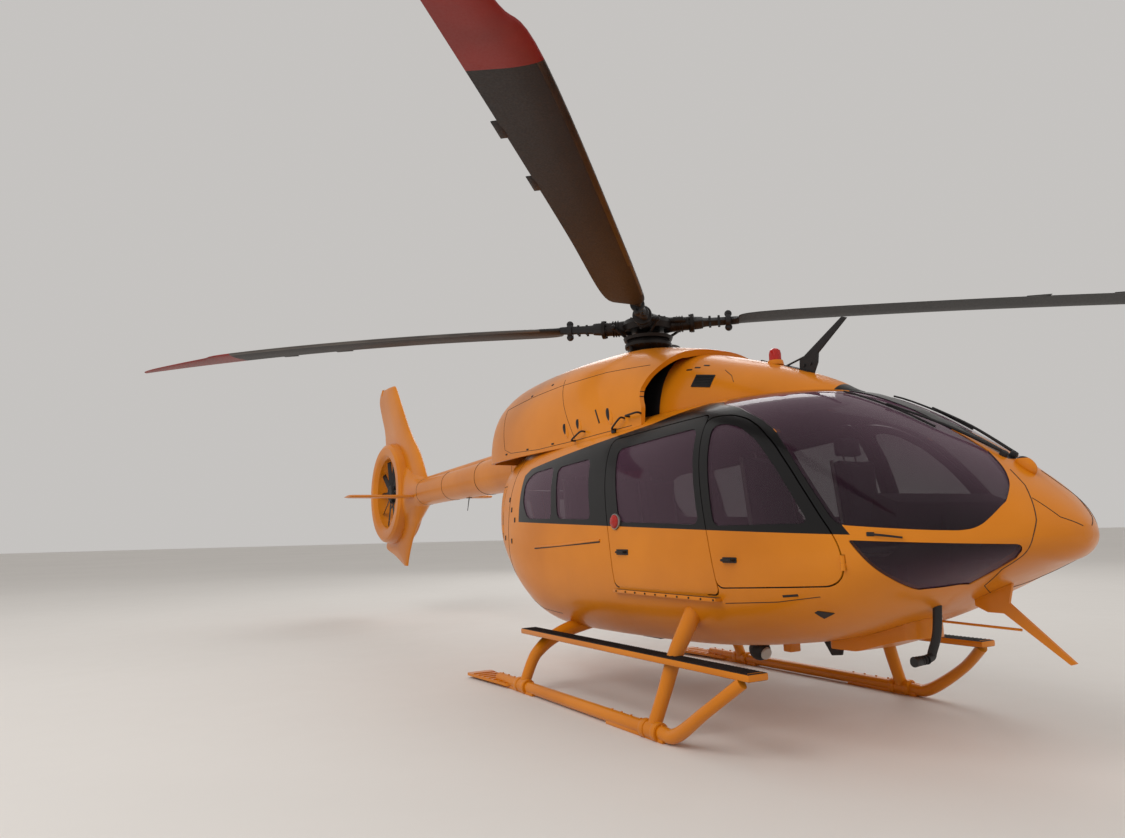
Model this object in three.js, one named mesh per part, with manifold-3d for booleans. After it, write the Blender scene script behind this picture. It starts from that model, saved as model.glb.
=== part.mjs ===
// A light twin-engined rescue helicopter with a four-blade rotor and a shrouded tail fan, at full size.
// Millimetres, +X towards the nose, +Y towards the port side, +Z up, the ground at z = 0.
// Every table below is measured from the mast's axis; the whole aircraft then moves by MAST_X.
import * as THREE from "three";
import { mergeVertices } from "three/addons/utils/BufferGeometryUtils.js";
import Module from "manifold-3d";

const wasm = await Module();
wasm.setup();

// Driving dimensions.
const MAST_X = 2124.3; // the mast's place in the part's frame, whose origin is the middle of its box
const FIT = 0.4; // gap between two pieces that touch
const DOOR_GAP = 8; // gap round a door that opens
const WALL = 34; // thickness of the cabin's walls and doors
const PANE = 10; // thickness of a window
const RING_POINTS = 28; // points round a cabin section
const INSIDE_POINTS = 20; // and round its inside

const ROTOR_RADIUS = 5500;
const HUB_Z = 3124; // height of the blades' plane at the hub
const FIRST_BLADE_DEG = 47.8; // the blades stand at this angle from the nose, and each quarter turn on
// How each blade hangs, in order: rise per radius at the hub and drop of the tip below that line.
const BLADE_HANG = [[-0.005, 200], [0.02, 180], [0.05, 320], [0.02, 180]];
const ARM_END = 420; // radius where a hub arm ends and its blade begins

const FAN = { x: -7330, z: 2000, radius: 576, outer: 842 };
const FAN_BLADES = 10;
const SKID_Y = 1175;
const SKID_RADIUS = 44;
const STEP_Y = 1040;

const SIDES = [
  ["right", -1],
  ["left", 1],
];

// Finishes.
const finish = (color, roughness, metalness, opacity = 1) =>
  new THREE.MeshStandardMaterial({ color, roughness, metalness, opacity, transparent: opacity < 1 });
const PAINT = finish(0xe79a18, 0.3, 0);
const BLACK = finish(0x14110f, 0.5, 0);
const GLASS = finish(0x2a1a22, 0.08, 0, 0.45);
const BLADE = finish(0x231b1b, 0.45, 0);
const STEEL = finish(0x77736e, 0.4, 1);
const TRIM = finish(0x38332f, 0.7, 0);
const SEAT = finish(0x23262b, 0.9, 0);

const root = new THREE.Group();
const aircraft = new THREE.Group();
aircraft.position.x = MAST_X;
root.add(aircraft);

// Solids: a closed geometry becomes a solid that can be joined and cut, and ends as a geometry again.
function solid(geometry) {
  const bare = geometry.clone();
  for (const name of ["normal", "uv"]) bare.deleteAttribute(name);
  const merged = mergeVertices(bare, 1e-3);
  const vertProperties = merged.attributes.position.array;
  const triVerts = new Uint32Array(merged.index.array);
  const made = new wasm.Manifold(new wasm.Mesh({ numProp: 3, vertProperties, triVerts }));
  if (made.volume() > 0) return made;
  for (let i = 0; i < triVerts.length; i += 3)
    [triVerts[i + 1], triVerts[i + 2]] = [triVerts[i + 2], triVerts[i + 1]];
  return new wasm.Manifold(new wasm.Mesh({ numProp: 3, vertProperties, triVerts }));
}

function add(name, shape, material) {
  const body = shape.decompose().sort((a, b) => b.volume() - a.volume())[0]; // without loose slivers
  const mesh = body.getMesh();
  const geometry = new THREE.BufferGeometry();
  geometry.setAttribute("position", new THREE.BufferAttribute(mesh.vertProperties, 3));
  geometry.setIndex(new THREE.BufferAttribute(mesh.triVerts, 1));
  const piece = new THREE.Mesh(geometry, material);
  piece.name = name;
  aircraft.add(piece);
  return body;
}

const joined = (first, ...rest) => rest.reduce((sum, each) => sum.add(each), first);

// A skin through rings of points, closed at both ends.
function loft(rings) {
  const count = rings[0].length;
  const points = rings.flat();
  const faces = [];
  for (let i = 0; i < rings.length - 1; i++)
    for (let j = 0; j < count; j++) {
      const [a, b] = [i * count + j, i * count + ((j + 1) % count)];
      faces.push(a, b, b + count, a, b + count, a + count);
    }
  const last = (rings.length - 1) * count;
  for (const [start, ring] of [[0, rings[0]], [last, rings[rings.length - 1]]]) {
    const sum = ring.reduce((total, p) => total.clone().add(p), new THREE.Vector3());
    const middle = points.push(sum.divideScalar(count)) - 1;
    for (let j = 0; j < count; j++) {
      const [a, b] = [start + j, start + ((j + 1) % count)];
      faces.push(...(start ? [a, b, middle] : [b, a, middle]));
    }
  }
  const geometry = new THREE.BufferGeometry().setFromPoints(points);
  geometry.setIndex(faces);
  return solid(geometry);
}

// An outline of [u, v] points with rounded corners, as a shape.
function outlineShape(points, corner = 0) {
  const shape = new THREE.Shape();
  points.forEach(([u, v], i) => {
    const here = new THREE.Vector2(u, v);
    const before = new THREE.Vector2(...points[(i + points.length - 1) % points.length]);
    const after = new THREE.Vector2(...points[(i + 1) % points.length]);
    const cut = Math.min(corner, here.distanceTo(before) / 2.2, here.distanceTo(after) / 2.2);
    const from = here.clone().lerp(before, cut / here.distanceTo(before));
    const to = here.clone().lerp(after, cut / here.distanceTo(after));
    if (i) shape.lineTo(from.x, from.y);
    else shape.moveTo(from.x, from.y);
    if (cut) shape.quadraticCurveTo(u, v, to.x, to.y);
  });
  shape.closePath();
  return shape;
}

// The outline moved outwards by grow; one that runs clockwise is turned round first.
function grown(points, grow) {
  const area = points.reduce((sum, [u, v], i) => {
    const [u2, v2] = points[(i + 1) % points.length];
    return sum + u * v2 - u2 * v;
  }, 0);
  const turned = area > 0 ? points : [...points].reverse();
  return turned.map((p, i) => {
    const before = turned[(i + turned.length - 1) % turned.length];
    const after = turned[(i + 1) % turned.length];
    const normal = (a, b) => new THREE.Vector2(b[1] - a[1], a[0] - b[0]).normalize();
    const [n1, n2] = [normal(before, p), normal(p, after)];
    const mitre = n1.clone().add(n2).multiplyScalar(grow / (1 + n1.dot(n2)));
    return [p[0] + mitre.x, p[1] + mitre.y];
  });
}

// An outline stood along an axis: "y" takes [x, z] points, "x" takes [y, z] and "z" takes [x, y].
const STANDING = {
  x: [new THREE.Vector3(0, 1, 0), new THREE.Vector3(0, 0, 1), new THREE.Vector3(1, 0, 0)],
  y: [new THREE.Vector3(1, 0, 0), new THREE.Vector3(0, 0, 1), new THREE.Vector3(0, -1, 0)],
  z: [new THREE.Vector3(1, 0, 0), new THREE.Vector3(0, 1, 0), new THREE.Vector3(0, 0, 1)],
};
function prism(points, axis, from, to, corner = 0) {
  const options = { depth: to - from, bevelEnabled: false, curveSegments: 3, steps: 1 };
  const geometry = new THREE.ExtrudeGeometry(outlineShape(points, corner), options);
  geometry.applyMatrix4(new THREE.Matrix4().makeBasis(...STANDING[axis]));
  const shift = { x: [from, 0, 0], y: [0, to, 0], z: [0, 0, from] }[axis];
  return solid(geometry.translate(...shift));
}

function box(x0, x1, y0, y1, z0, z1) {
  const geometry = new THREE.BoxGeometry(x1 - x0, y1 - y0, z1 - z0);
  return solid(geometry.translate((x0 + x1) / 2, (y0 + y1) / 2, (z0 + z1) / 2));
}

// A round rod between two points, whose radius may change along it.
function rod(a, b, startRadius, endRadius = startRadius, sides = 10) {
  const [p, q] = [new THREE.Vector3(...a), new THREE.Vector3(...b)];
  const geometry = new THREE.CylinderGeometry(endRadius, startRadius, p.distanceTo(q), sides);
  const turn = new THREE.Quaternion().setFromUnitVectors(
    new THREE.Vector3(0, 1, 0), q.clone().sub(p).normalize());
  geometry.applyQuaternion(turn);
  const middle = p.add(q).divideScalar(2);
  return solid(geometry.translate(middle.x, middle.y, middle.z));
}

const ball = (at, radius) => solid(new THREE.SphereGeometry(radius, 10, 6).translate(...at));

// A tube or bar along a smooth curve, with a round section.
function bar(points, radius, steps = 8, sides = 4) {
  const curve = new THREE.CatmullRomCurve3(points.map((p) => new THREE.Vector3(...p)));
  const section = new THREE.Shape().absarc(0, 0, radius, 0, 2 * Math.PI);
  const options = { steps, extrudePath: curve, curveSegments: sides, bevelEnabled: false };
  return solid(new THREE.ExtrudeGeometry(section, options));
}

// A tube along points that keep near one x, which are [x, y, z, radius]; its rings stand across the path.
function tube(points, grow = 0, sides = 10) {
  const centres = points.map(([x, y, z]) => new THREE.Vector3(x, y, z));
  return loft(centres.map((centre, i) => {
    const ahead = centres[Math.min(i + 1, centres.length - 1)].clone();
    const along = ahead.sub(centres[Math.max(i - 1, 0)]).normalize();
    const level = new THREE.Vector3(1, 0, 0).addScaledVector(along, -along.x).normalize();
    const upward = along.clone().cross(level);
    return Array.from({ length: sides }, (_, j) => {
      const angle = (2 * Math.PI * j) / sides;
      const radius = points[i][3] + grow;
      return centre.clone().addScaledVector(level, radius * Math.cos(angle))
        .addScaledVector(upward, radius * Math.sin(angle));
    });
  }));
}

// A profile of [radius, height] points turned about Z; it starts and ends on the axis or closes on itself.
const turned = (profile, segments = 20) =>
  solid(new THREE.LatheGeometry(profile.map((p) => new THREE.Vector2(...p)), segments).rotateX(Math.PI / 2));

// The cabin pod. Columns: x, bottom z, z of the widest point, top z, half width, roundness below and above.
const POD = [
  [3578, 1182, 1222, 1262, 36, 2, 2],
  [3555, 1140, 1220, 1302, 130, 2, 2],
  [3490, 1092, 1215, 1385, 265, 2, 2],
  [3395, 1058, 1210, 1480, 410, 2, 2],
  [3200, 975, 1195, 1648, 590, 2.1, 2],
  [2950, 862, 1180, 1812, 732, 2.3, 2.1],
  [2650, 728, 1170, 1990, 830, 2.6, 2.3],
  [2300, 612, 1160, 2138, 890, 3, 2.6],
  [1900, 535, 1150, 2195, 918, 3.2, 3],
  [1400, 475, 1150, 2215, 926, 3.3, 3.3],
  [800, 445, 1150, 2220, 926, 3.3, 3.3],
  [0, 430, 1150, 2220, 926, 3.3, 3.3],
  [-600, 440, 1165, 2210, 914, 3.3, 3.1],
  [-1000, 530, 1200, 2200, 880, 2.9, 2.9],
  [-1300, 680, 1270, 2185, 828, 2.6, 2.7],
  [-1600, 885, 1370, 2165, 742, 2.4, 2.5],
  [-1850, 1120, 1500, 2140, 616, 2.2, 2.3],
  [-2020, 1370, 1650, 2110, 465, 2.1, 2.2],
  [-2100, 1530, 1760, 2080, 325, 2.1, 2.1],
  [-2140, 1620, 1840, 2050, 200, 2, 2],
];
const POD_NOSE = { from: 3100, over: 525 };
const POD_TAIL = { from: -1800, over: 340 };

// A ring of a rounded-box section, shrunk by inset all round.
function sectionRing(x, bottom, widest, top, half, below, above, inset, count = RING_POINTS) {
  return Array.from({ length: count }, (_, i) => {
    const angle = (2 * Math.PI * i) / count;
    const [c, s] = [Math.cos(angle), Math.sin(angle)];
    const round = s < 0 ? below : above;
    const reach = s < 0 ? widest - bottom : top - widest;
    const y = Math.sign(c) * Math.abs(c) ** (2 / round) * Math.max(half - inset, 5);
    const z = widest + Math.sign(s) * Math.abs(s) ** (2 / round) * Math.max(reach - inset, 5);
    return new THREE.Vector3(x, y, z);
  });
}

// The pod shrunk by inset; the inside faces take every second section and fewer points.
function pod(inset, inside = false) {
  const share = (distance, over) => Math.min(Math.max(distance / over, 0), 1);
  const kept = POD.filter((_, i) => !inside || i % 2 === 0 || i === POD.length - 1);
  return loft(kept.map(([x, ...rest]) => {
    const pull = share(x - POD_NOSE.from, POD_NOSE.over) - share(POD_TAIL.from - x, POD_TAIL.over);
    return sectionRing(x - inset * pull, ...rest, inset, inside ? INSIDE_POINTS : RING_POINTS);
  }));
}
const podOuter = pod(0);
const podClear = pod(-FIT);
const podInner = pod(WALL, true);
const paneLayer = pod(6).subtract(pod(6 + PANE));
const shell = podOuter.subtract(podInner);

// Outlines of doors and windows, as [x, z] points seen from the side, and as [x, y] points from above.
const FRONT_DOOR = [[1868, 925], [2665, 965], [2745, 1040], [2745, 1140], [2706, 1235], [2640, 1330],
  [2555, 1450], [2430, 1610], [2290, 1765], [2130, 1895], [2000, 1965], [1830, 2012], [1652, 2010]];
const FRONT_DOOR_WINDOW = [[1865, 1300], [2575, 1300], [2454, 1475], [2324, 1640], [2159, 1805],
  [1990, 1912], [1840, 1955], [1740, 1950]];
const SLIDING_DOOR = [[730, 880], [1870, 880], [1640, 2040], [560, 1985]];
const SLIDING_DOOR_WINDOW = [[815, 1345], [1725, 1310], [1600, 1955], [700, 1900]];
const SIDE_WINDOW = [[-120, 1395], [415, 1375], [325, 1865], [-205, 1835]];
const QUARTER_WINDOW = [[-700, 1410], [-225, 1395], [-290, 1850], [-700, 1825], [-850, 1750], [-830, 1550]];
const WINDSCREEN_SIDE = [[2747, 1287], [2922, 1270], [3133, 1252], [3270, 1245], [3325, 1262],
  [3362, 1320], [3385, 1390], [3392, 1450], [3600, 1600], [3600, 2400], [1600, 2400], [1590, 2135],
  [1857, 2062], [2111, 1949], [2256, 1860], [2399, 1709], [2527, 1555], [2639, 1411], [2700, 1325]];
const WINDSCREEN_PLAN = [[1590, 470], [1700, 360], [2060, 250], [2300, 110], [2420, 72], [2700, 60],
  [2936, 64], [3150, 90], [3290, 165], [3350, 229], [3378, 303], [3388, 380], [3378, 450], [3600, 700],
  [3600, 1100], [1500, 1100]];
const CHIN_WINDOW = [[2785, 1207], [2870, 1088], [2930, 1005], [2965, 942], [3050, 955], [3115, 970],
  [3185, 958], [3265, 1005], [3355, 1075], [3432, 1145], [3440, 1175]];
const CLAMSHELL = [[-1480, 1745], [-1480, 300], [-2300, 300], [-2300, 1745]];
const CLAMSHELL_WINDOW = [[150, 1330], [430, 1330], [430, 1650], [150, 1650]];
const [FAR, WINDOW_CORNER, DOOR_CORNER] = [1200, 60, 50];
const CHIN_NEAR_Y = 300; // the chin windows keep this far from the middle

const across = (side, near) => (side < 0 ? [-FAR, -near] : [near, FAR]);
const sideCut = (outline, side, near, grow, corner) =>
  prism(grown(outline, grow), "y", ...across(side, near), corner);
const planCut = (side, grow) =>
  prism(grown(WINDSCREEN_PLAN.map(([x, y]) => [x, side * y]), grow), "z", 1200, 2500);
const windscreenCut = (side, grow) =>
  sideCut(WINDSCREEN_SIDE, side, 0, grow, 0).intersect(planCut(side, grow));

// Hinges: a knuckle on the hull below the door's own knuckle, on one upright axis at the skin.
// Columns: x, |y| and z of the joint between the two knuckles.
const HINGES = { front: [2749, 797, 1088], rear: [-1476, 774, 1330] };
const SILL_RAIL = { x: [780, 1760], z: [870, 880 - FIT] }; // carries the sliding door
const SILL_LEDGE = { x: [736, 1874], y: [860, 944], z: [838, 862] }; // the lower track's ledge below it
const KNUCKLE = { radius: 14, tall: 40, clear: 3 };
function hinged(body, leaf, [x, y, z]) {
  const knuckle = (up, grow) => {
    const start = z + (up * (grow ? -FIT : FIT)) / 2;
    return rod([x, y, start], [x, y, z + up * (KNUCKLE.tall + grow)], KNUCKLE.radius + grow);
  };
  return [
    body.subtract(knuckle(1, KNUCKLE.clear)).add(knuckle(-1, 0)),
    leaf.subtract(knuckle(-1, KNUCKLE.clear)).add(knuckle(1, 0)),
  ];
}

let hull = shell;
for (const [hand, side] of SIDES) {
  // Fixed windows: an opening in the hull and a pane in it. Columns: name, outline, nearest |y|.
  const panes = [
    ["side_window", SIDE_WINDOW, 300],
    ["quarter_window", QUARTER_WINDOW, 300],
    ["chin_window", CHIN_WINDOW, CHIN_NEAR_Y],
  ];
  for (const [name, outline, near] of panes) {
    hull = hull.subtract(sideCut(outline, side, near, 0, WINDOW_CORNER));
    const pane = sideCut(outline, side, near + FIT, -FIT, WINDOW_CORNER);
    add(`${name}_${hand}`, paneLayer.intersect(pane), GLASS);
  }
  hull = hull.subtract(windscreenCut(side, 0));
  add(`windscreen_${hand}`, paneLayer.intersect(windscreenCut(side, -FIT)), GLASS);

  // Doors: the hull is cut a gap wider than the door that fills it. Columns: name, outline, window.
  const doors = [
    ["front_door", FRONT_DOOR, FRONT_DOOR_WINDOW],
    ["sliding_door", SLIDING_DOOR, SLIDING_DOOR_WINDOW],
  ];
  for (const [name, outline, window] of doors) {
    hull = hull.subtract(sideCut(outline, side, 300, DOOR_GAP, DOOR_CORNER));
    let leaf = shell.intersect(sideCut(outline, side, 300, 0, DOOR_CORNER))
      .subtract(sideCut(window, side, 300, 0, WINDOW_CORNER));
    if (name === "front_door") {
      const [x, y, z] = HINGES.front;
      [hull, leaf] = hinged(hull, leaf, [x, side * y, z]);
    } else {
      hull = hull.add(shell.intersect(box(...SILL_RAIL.x, ...across(side, 300), ...SILL_RAIL.z)));
      const ledgeY = SILL_LEDGE.y.map((y) => side * y).sort((a, b) => a - b);
      const ledge = box(...SILL_LEDGE.x, ...ledgeY, ...SILL_LEDGE.z);
      hull = hull.add(ledge.subtract(podInner));
    }
    add(`${name}_${hand}`, leaf, PAINT);
    const pane = sideCut(window, side, 300, -FIT, WINDOW_CORNER);
    add(`${name}_glass_${hand}`, paneLayer.intersect(pane), GLASS);
  }

  // Rear doors meet at the middle.
  const opening = sideCut(CLAMSHELL, side, -1, DOOR_GAP, 0);
  let leaf = shell.intersect(sideCut(CLAMSHELL, side, DOOR_GAP / 2, 0, 0));
  const lookout = (grow) =>
    prism(grown(CLAMSHELL_WINDOW.map(([y, z]) => [side * y, z]), grow), "x", -2400, -1700, 50);
  const [x, y, z] = HINGES.rear;
  [hull, leaf] = hinged(hull.subtract(opening), leaf.subtract(lookout(0)), [x, side * y, z]);
  add(`rear_door_${hand}`, leaf, PAINT);
  add(`rear_door_glass_${hand}`, paneLayer.intersect(lookout(-FIT)), GLASS);
}

// The cabin floor lies between the walls, and the hull's own roof carries the engine deck.
const FLOOR = { bottom: 800, top: 840, from: -1430, to: 2900 };
const podInside = pod(WALL + FIT, true);
const floorSlab = box(FLOOR.from, FLOOR.to, -FAR, FAR, FLOOR.bottom, FLOOR.top);
add("cabin_floor", podInside.intersect(floorSlab), TRIM);

// The engine cowling: a wide rear part and a narrow front fairing that leaves the two air intakes beside it.
// Columns: x, top z, half width, roundness.
const COWL = [
  [960, 2690, 650, 2.5],
  [880, 2720, 686, 2.6],
  [400, 2830, 716, 2.6],
  [0, 2872, 730, 2.6],
  [-600, 2892, 742, 2.6],
  [-1100, 2888, 740, 2.6],
  [-1600, 2858, 720, 2.6],
  [-1900, 2798, 688, 2.6],
  [-2030, 2738, 652, 2.5],
  [-2095, 2655, 605, 2.4],
];
const FAIRING = [
  [2320, 2135, 75, 2],
  [2250, 2168, 130, 2],
  [2060, 2268, 245, 2.1],
  [1700, 2418, 350, 2.3],
  [1300, 2552, 430, 2.4],
  [900, 2672, 478, 2.5],
  [405, 2762, 502, 2.5],
];
const COWL_BASE = 2020;
const cowlLoft = (table, inset) =>
  loft(table.map(([x, top, half, round], i) => {
    const end = i === 0 ? -inset : i === table.length - 1 ? inset : 0;
    return sectionRing(x + end, COWL_BASE - 60, COWL_BASE, top, half, 2, round, inset, 24);
  }));
const aboveDeck = box(-3000, 3000, -FAR, FAR, COWL_BASE, 4000);
const INTAKE_DEPTH = 440; // the intake runs back to this x
const INTAKE_LIP = [[820, 1900], [813, 2224], [778, 2300], [770, 2365], [812, 2460], [885, 2558],
  [945, 2700], [1100, 2760], [1100, 1900]]; // what is cut from the cowl's front, seen from the side
const COWL_SKIN = 30;
const INTAKE_MOUTH = [[1200, 2630, 585, 2.5], [961, 2689, 649, 2.5]]; // the cowl carried on forwards
const intake = cowlLoft([...INTAKE_MOUTH, ...COWL.slice(1)], 36)
  .intersect(box(INTAKE_DEPTH, 1100, -FAR, FAR, 0, 4000));
const engineBay = cowlLoft(COWL, COWL_SKIN)
  .intersect(box(-2080, INTAKE_DEPTH - COWL_SKIN, -FAR, FAR, 0, 4000));
const fairingBay = cowlLoft(FAIRING, COWL_SKIN).intersect(box(INTAKE_DEPTH, 2250, -FAR, FAR, 0, 4000));
const MAST_HOLE = 170;
const EXHAUST = { y: 375, z: 2330, radius: 110, from: -2000, to: -2300, wall: 12 };
const intakeLip = prism(INTAKE_LIP, "y", -FAR, FAR);
let cowling = joined(cowlLoft(COWL, 0).subtract(intake).subtract(intakeLip), cowlLoft(FAIRING, 0))
  .subtract(engineBay)
  .subtract(fairingBay)
  .intersect(aboveDeck)
  .subtract(podClear)
  .subtract(rod([0, 0, 2600], [0, 0, 3000], MAST_HOLE + 5, MAST_HOLE + 5, 20));

for (const [hand, side] of SIDES) {
  const at = (x) => [x, side * EXHAUST.y, EXHAUST.z];
  const pipe = rod(at(EXHAUST.from), at(EXHAUST.to), EXHAUST.radius, EXHAUST.radius, 18);
  const bore = rod(at(EXHAUST.from + 1), at(EXHAUST.to - 1), EXHAUST.radius - EXHAUST.wall, undefined, 18);
  const hole = rod(at(EXHAUST.from + FIT), at(EXHAUST.to), EXHAUST.radius + FIT, undefined, 18);
  cowling = cowling.subtract(hole);
  add(`exhaust_${hand}`, pipe.subtract(bore).subtract(podClear), STEEL);
}
add("engine_cowling", cowling, PAINT);

// Engines and main gearbox: plain blocks on the roof deck at their real places.
const DECK_Z = 2221;
for (const [hand, side] of SIDES) {
  const [near, wide] = [120, 480];
  const y = side < 0 ? [-wide, -near] : [near, wide];
  add(`engine_${hand}`, box(-1500, -520, ...y, DECK_Z - 60, DECK_Z + 340).subtract(podClear), STEEL);
}
const GEARBOX = { half: 300, top: 2640 };
const MAST_TUBE = { radius: 150, top: 2985 };
add("main_gearbox", joined(
  box(-GEARBOX.half, GEARBOX.half, -GEARBOX.half, GEARBOX.half, DECK_Z - 60, GEARBOX.top),
  rod([0, 0, GEARBOX.top - 10], [0, 0, MAST_TUBE.top - 60], MAST_TUBE.radius, MAST_TUBE.radius, 20),
  rod([0, 0, MAST_TUBE.top - 60], [0, 0, MAST_TUBE.top], MAST_TUBE.radius + 60, MAST_TUBE.radius + 40, 20),
).subtract(podClear), STEEL);

// Rotor head: a turned shaft and star, four arms, the swashplate's turning ring and four pitch links.
const around = (angle, radius, offset, z) => [
  radius * Math.cos(angle) - offset * Math.sin(angle),
  radius * Math.sin(angle) + offset * Math.cos(angle),
  z,
];
const bladeAngles = [0, 1, 2, 3].map((i) => THREE.MathUtils.degToRad(FIRST_BLADE_DEG + 90 * i));
const headProfile = [[0, 2985 + FIT], [215, 2985 + FIT], [225, 3012], [130, 3022], [95, 3040], [120, 3066],
  [215, 3078], [235, 3124], [215, 3170], [130, 3190], [105, 3215], [60, 3238], [0, 3242]];
const LINK = { radius: 15, foot: 185, head: 300, side: 120, low: 3004, high: 3108 };
const head = bladeAngles.reduce((sum, angle) => joined(
  sum,
  rod(around(angle, 120, 0, HUB_Z), around(angle, ARM_END, 0, HUB_Z), 74, 60),
  rod(around(angle, ARM_END - 34, 0, HUB_Z), around(angle, ARM_END, 0, HUB_Z), 84),
  rod(around(angle, LINK.foot, LINK.side / 3, LINK.low), around(angle, LINK.head, LINK.side, LINK.high),
    LINK.radius, undefined, 6),
  rod(around(angle, LINK.head, 0, HUB_Z), around(angle, LINK.head, LINK.side + 20, LINK.high), 24, 24, 6),
), turned(headProfile));
add("rotor_head", head, STEEL);

// Blades. Columns: radius, leading edge ahead of the axis, trailing edge behind it, thickness.
const BLADE_SECTIONS = [
  [ARM_END + FIT, 62, 62, 124],
  [ARM_END + 70, 62, 62, 112],
  [ARM_END + 110, 46, 46, 84],
  [790, 44, 46, 76],
  [985, 84, 226, 52],
  [2400, 95, 230, 42],
  [4240, 95, 230, 38],
  [4620, 22, 230, 32],
  [5000, -48, 230, 25],
  [5320, -112, 230, 17],
  [5470, -165, 232, 11],
  [ROTOR_RADIUS, -205, 234, 7],
];
const TRIM_TABS = [[3060, 3240], [3680, 3840]]; // from and to radius, on the trailing edge
const PENDULUM = { radius: 723, lift: 62, ball: 33, collar: 62 };

// Shares of the chord and of the thickness round a wing section, from the trailing edge over the top.
const WING = [[1, 0.08], [0.7, 0.62], [0.4, 1], [0.15, 0.86], [0.03, 0.42], [0, 0], [0.03, -0.42],
  [0.15, -0.8], [0.4, -0.9], [0.7, -0.52], [1, -0.08]];
bladeAngles.forEach((angle, i) => {
  const [rise, drop] = BLADE_HANG[i];
  const heightAt = (radius) => {
    const out = radius - ARM_END;
    return HUB_Z + rise * out - drop * (out / ROTOR_RADIUS) ** 2;
  };
  const rings = BLADE_SECTIONS.map(([radius, lead, trail, thick]) =>
    WING.map(([back, up]) => new THREE.Vector3(
      ...around(angle, radius, lead - back * (lead + trail), heightAt(radius) + (up * thick) / 2))));
  const tabs = TRIM_TABS.map(([from, to]) => loft([from, to].map((radius) =>
    [[-222, 3], [-222, -3], [-262, -3], [-262, 3]].map(([offset, lift]) =>
      new THREE.Vector3(...around(angle, radius, offset, heightAt(radius) + lift))))));
  const at = (lift, along = 0) => around(angle, PENDULUM.radius + along, 0, heightAt(PENDULUM.radius) + lift);
  const pendulum = joined(
    rod(at(-PENDULUM.lift), at(PENDULUM.lift), 20),
    rod(at(0, -22), at(0, 22), PENDULUM.collar),
    ball(at(-PENDULUM.lift), PENDULUM.ball), ball(at(PENDULUM.lift), PENDULUM.ball));
  add(`rotor_blade_${i + 1}`, joined(loft(rings), ...tabs, pendulum), BLADE);
});

// Tail boom: a tapering tube with the drive shaft's cover along its top.
// Columns: x, middle z, half width, half height.
const BOOM_END = -5850;
const BOOM = [
  [-1750, 2035, 265, 280],
  [-2200, 2017, 262, 260],
  [-2900, 2012, 240, 232],
  [-3900, 1987, 218, 210],
  [-4900, 1964, 205, 199],
  [BOOM_END, 1942, 198, 199],
];
const STUB = [
  [BOOM_END - FIT, 1942, 198, 199],
  [-6150, 1945, 190, 262],
  [-6450, 1965, 182, 400],
  [-6750, 1980, 176, 520],
  [-7000, 1990, 150, 560],
];
const roundLoft = (table, inset, count = 18) =>
  loft(table.map(([x, middle, half, tall]) =>
    sectionRing(x, middle - tall, middle, middle + tall, half, 2.2, 2.2, inset, count)));
const BOOM_WALL = 24;
const SHAFT_COVER = { x: -1900, z: 2245, radius: 80, endZ: 2078, endRadius: 92 };
const coverJoint = [BOOM_END, 0, SHAFT_COVER.endZ];
const coverStart = [SHAFT_COVER.x, 0, SHAFT_COVER.z];
const shaftCover = rod(coverStart, coverJoint, SHAFT_COVER.radius, SHAFT_COVER.endRadius, 12)
  .intersect(box(BOOM_END, 0, -FAR, FAR, 0, 4000));
const boomInside = roundLoft([[-1700, 2035, 265, 280], ...BOOM, [-5900, 1942, 198, 199]], BOOM_WALL);
add("tail_boom", roundLoft(BOOM, 0).add(shaftCover).subtract(boomInside)
  .subtract(podClear).subtract(cowlLoft(COWL, -FIT).intersect(aboveDeck)), PAINT);

// Fin and fan shroud: a turned ring about the fan's axis, and the fins as wing sections stacked along z.
// Columns: z, leading edge x, trailing edge x, half thickness, how far the trailing edge stands to starboard.
const UPPER_FIN = [
  [2150, -5851, -7700, 96],
  [2574, -6190, -7860, 92],
  [2870, -6550, -7950, 84],
  [3130, -6815, -8020, 75],
  [3400, -7050, -8105, 66, 30],
  [3660, -7270, -8190, 56, 50],
  [3820, -7410, -8140, 46, 50],
  [3868, -7480, -8050, 28, 45],
];
const FIN_LAMP = { x: -8035, y: -42, top: 3905 };
const LOWER_FIN = [
  [1760, -5880, -7100, 150],
  [1580, -6120, -7300, 110],
  [1420, -6320, -7620, 76],
  [1230, -6510, -7775, 58],
  [1080, -6610, -7860, 48],
  [960, -6680, -7380, 38],
  [808, -6755, -6910, 24],
];
const finLoft = (table) =>
  loft(table.map(([z, lead, trail, half, aside = 0]) =>
    WING.map(([back, side]) =>
      new THREE.Vector3(lead + back * (trail - lead), side * half - back * aside, z))));
const SHROUD_HALF = [[540, 160], [FAN.radius, 180], [606, 208], [650, 224], [765, 224], [812, 190], [836, 112],
  [FAN.outer, 35]]; // radius and half thickness
const SHROUD = [...SHROUD_HALF, ...SHROUD_HALF.map(([r, y]) => [r, -y]).reverse(), SHROUD_HALF[0]];
const onFanAxis = (geometry) => solid(geometry.translate(FAN.x, 0, FAN.z)); // a lathe turns about Y
const lathe = (profile, segments) =>
  onFanAxis(new THREE.LatheGeometry(profile.map((p) => new THREE.Vector2(...p)), segments));
const duct = rod([FAN.x, -400, FAN.z], [FAN.x, 400, FAN.z], FAN.radius, FAN.radius, 32);
const mouth = (side) =>
  rod([FAN.x, side * 160, FAN.z], [FAN.x, side * 245, FAN.z], FAN.radius, 650, 32);
const finLamp = rod([FIN_LAMP.x, FIN_LAMP.y, 3780], [FIN_LAMP.x, FIN_LAMP.y, FIN_LAMP.top], 24, 18);
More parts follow.
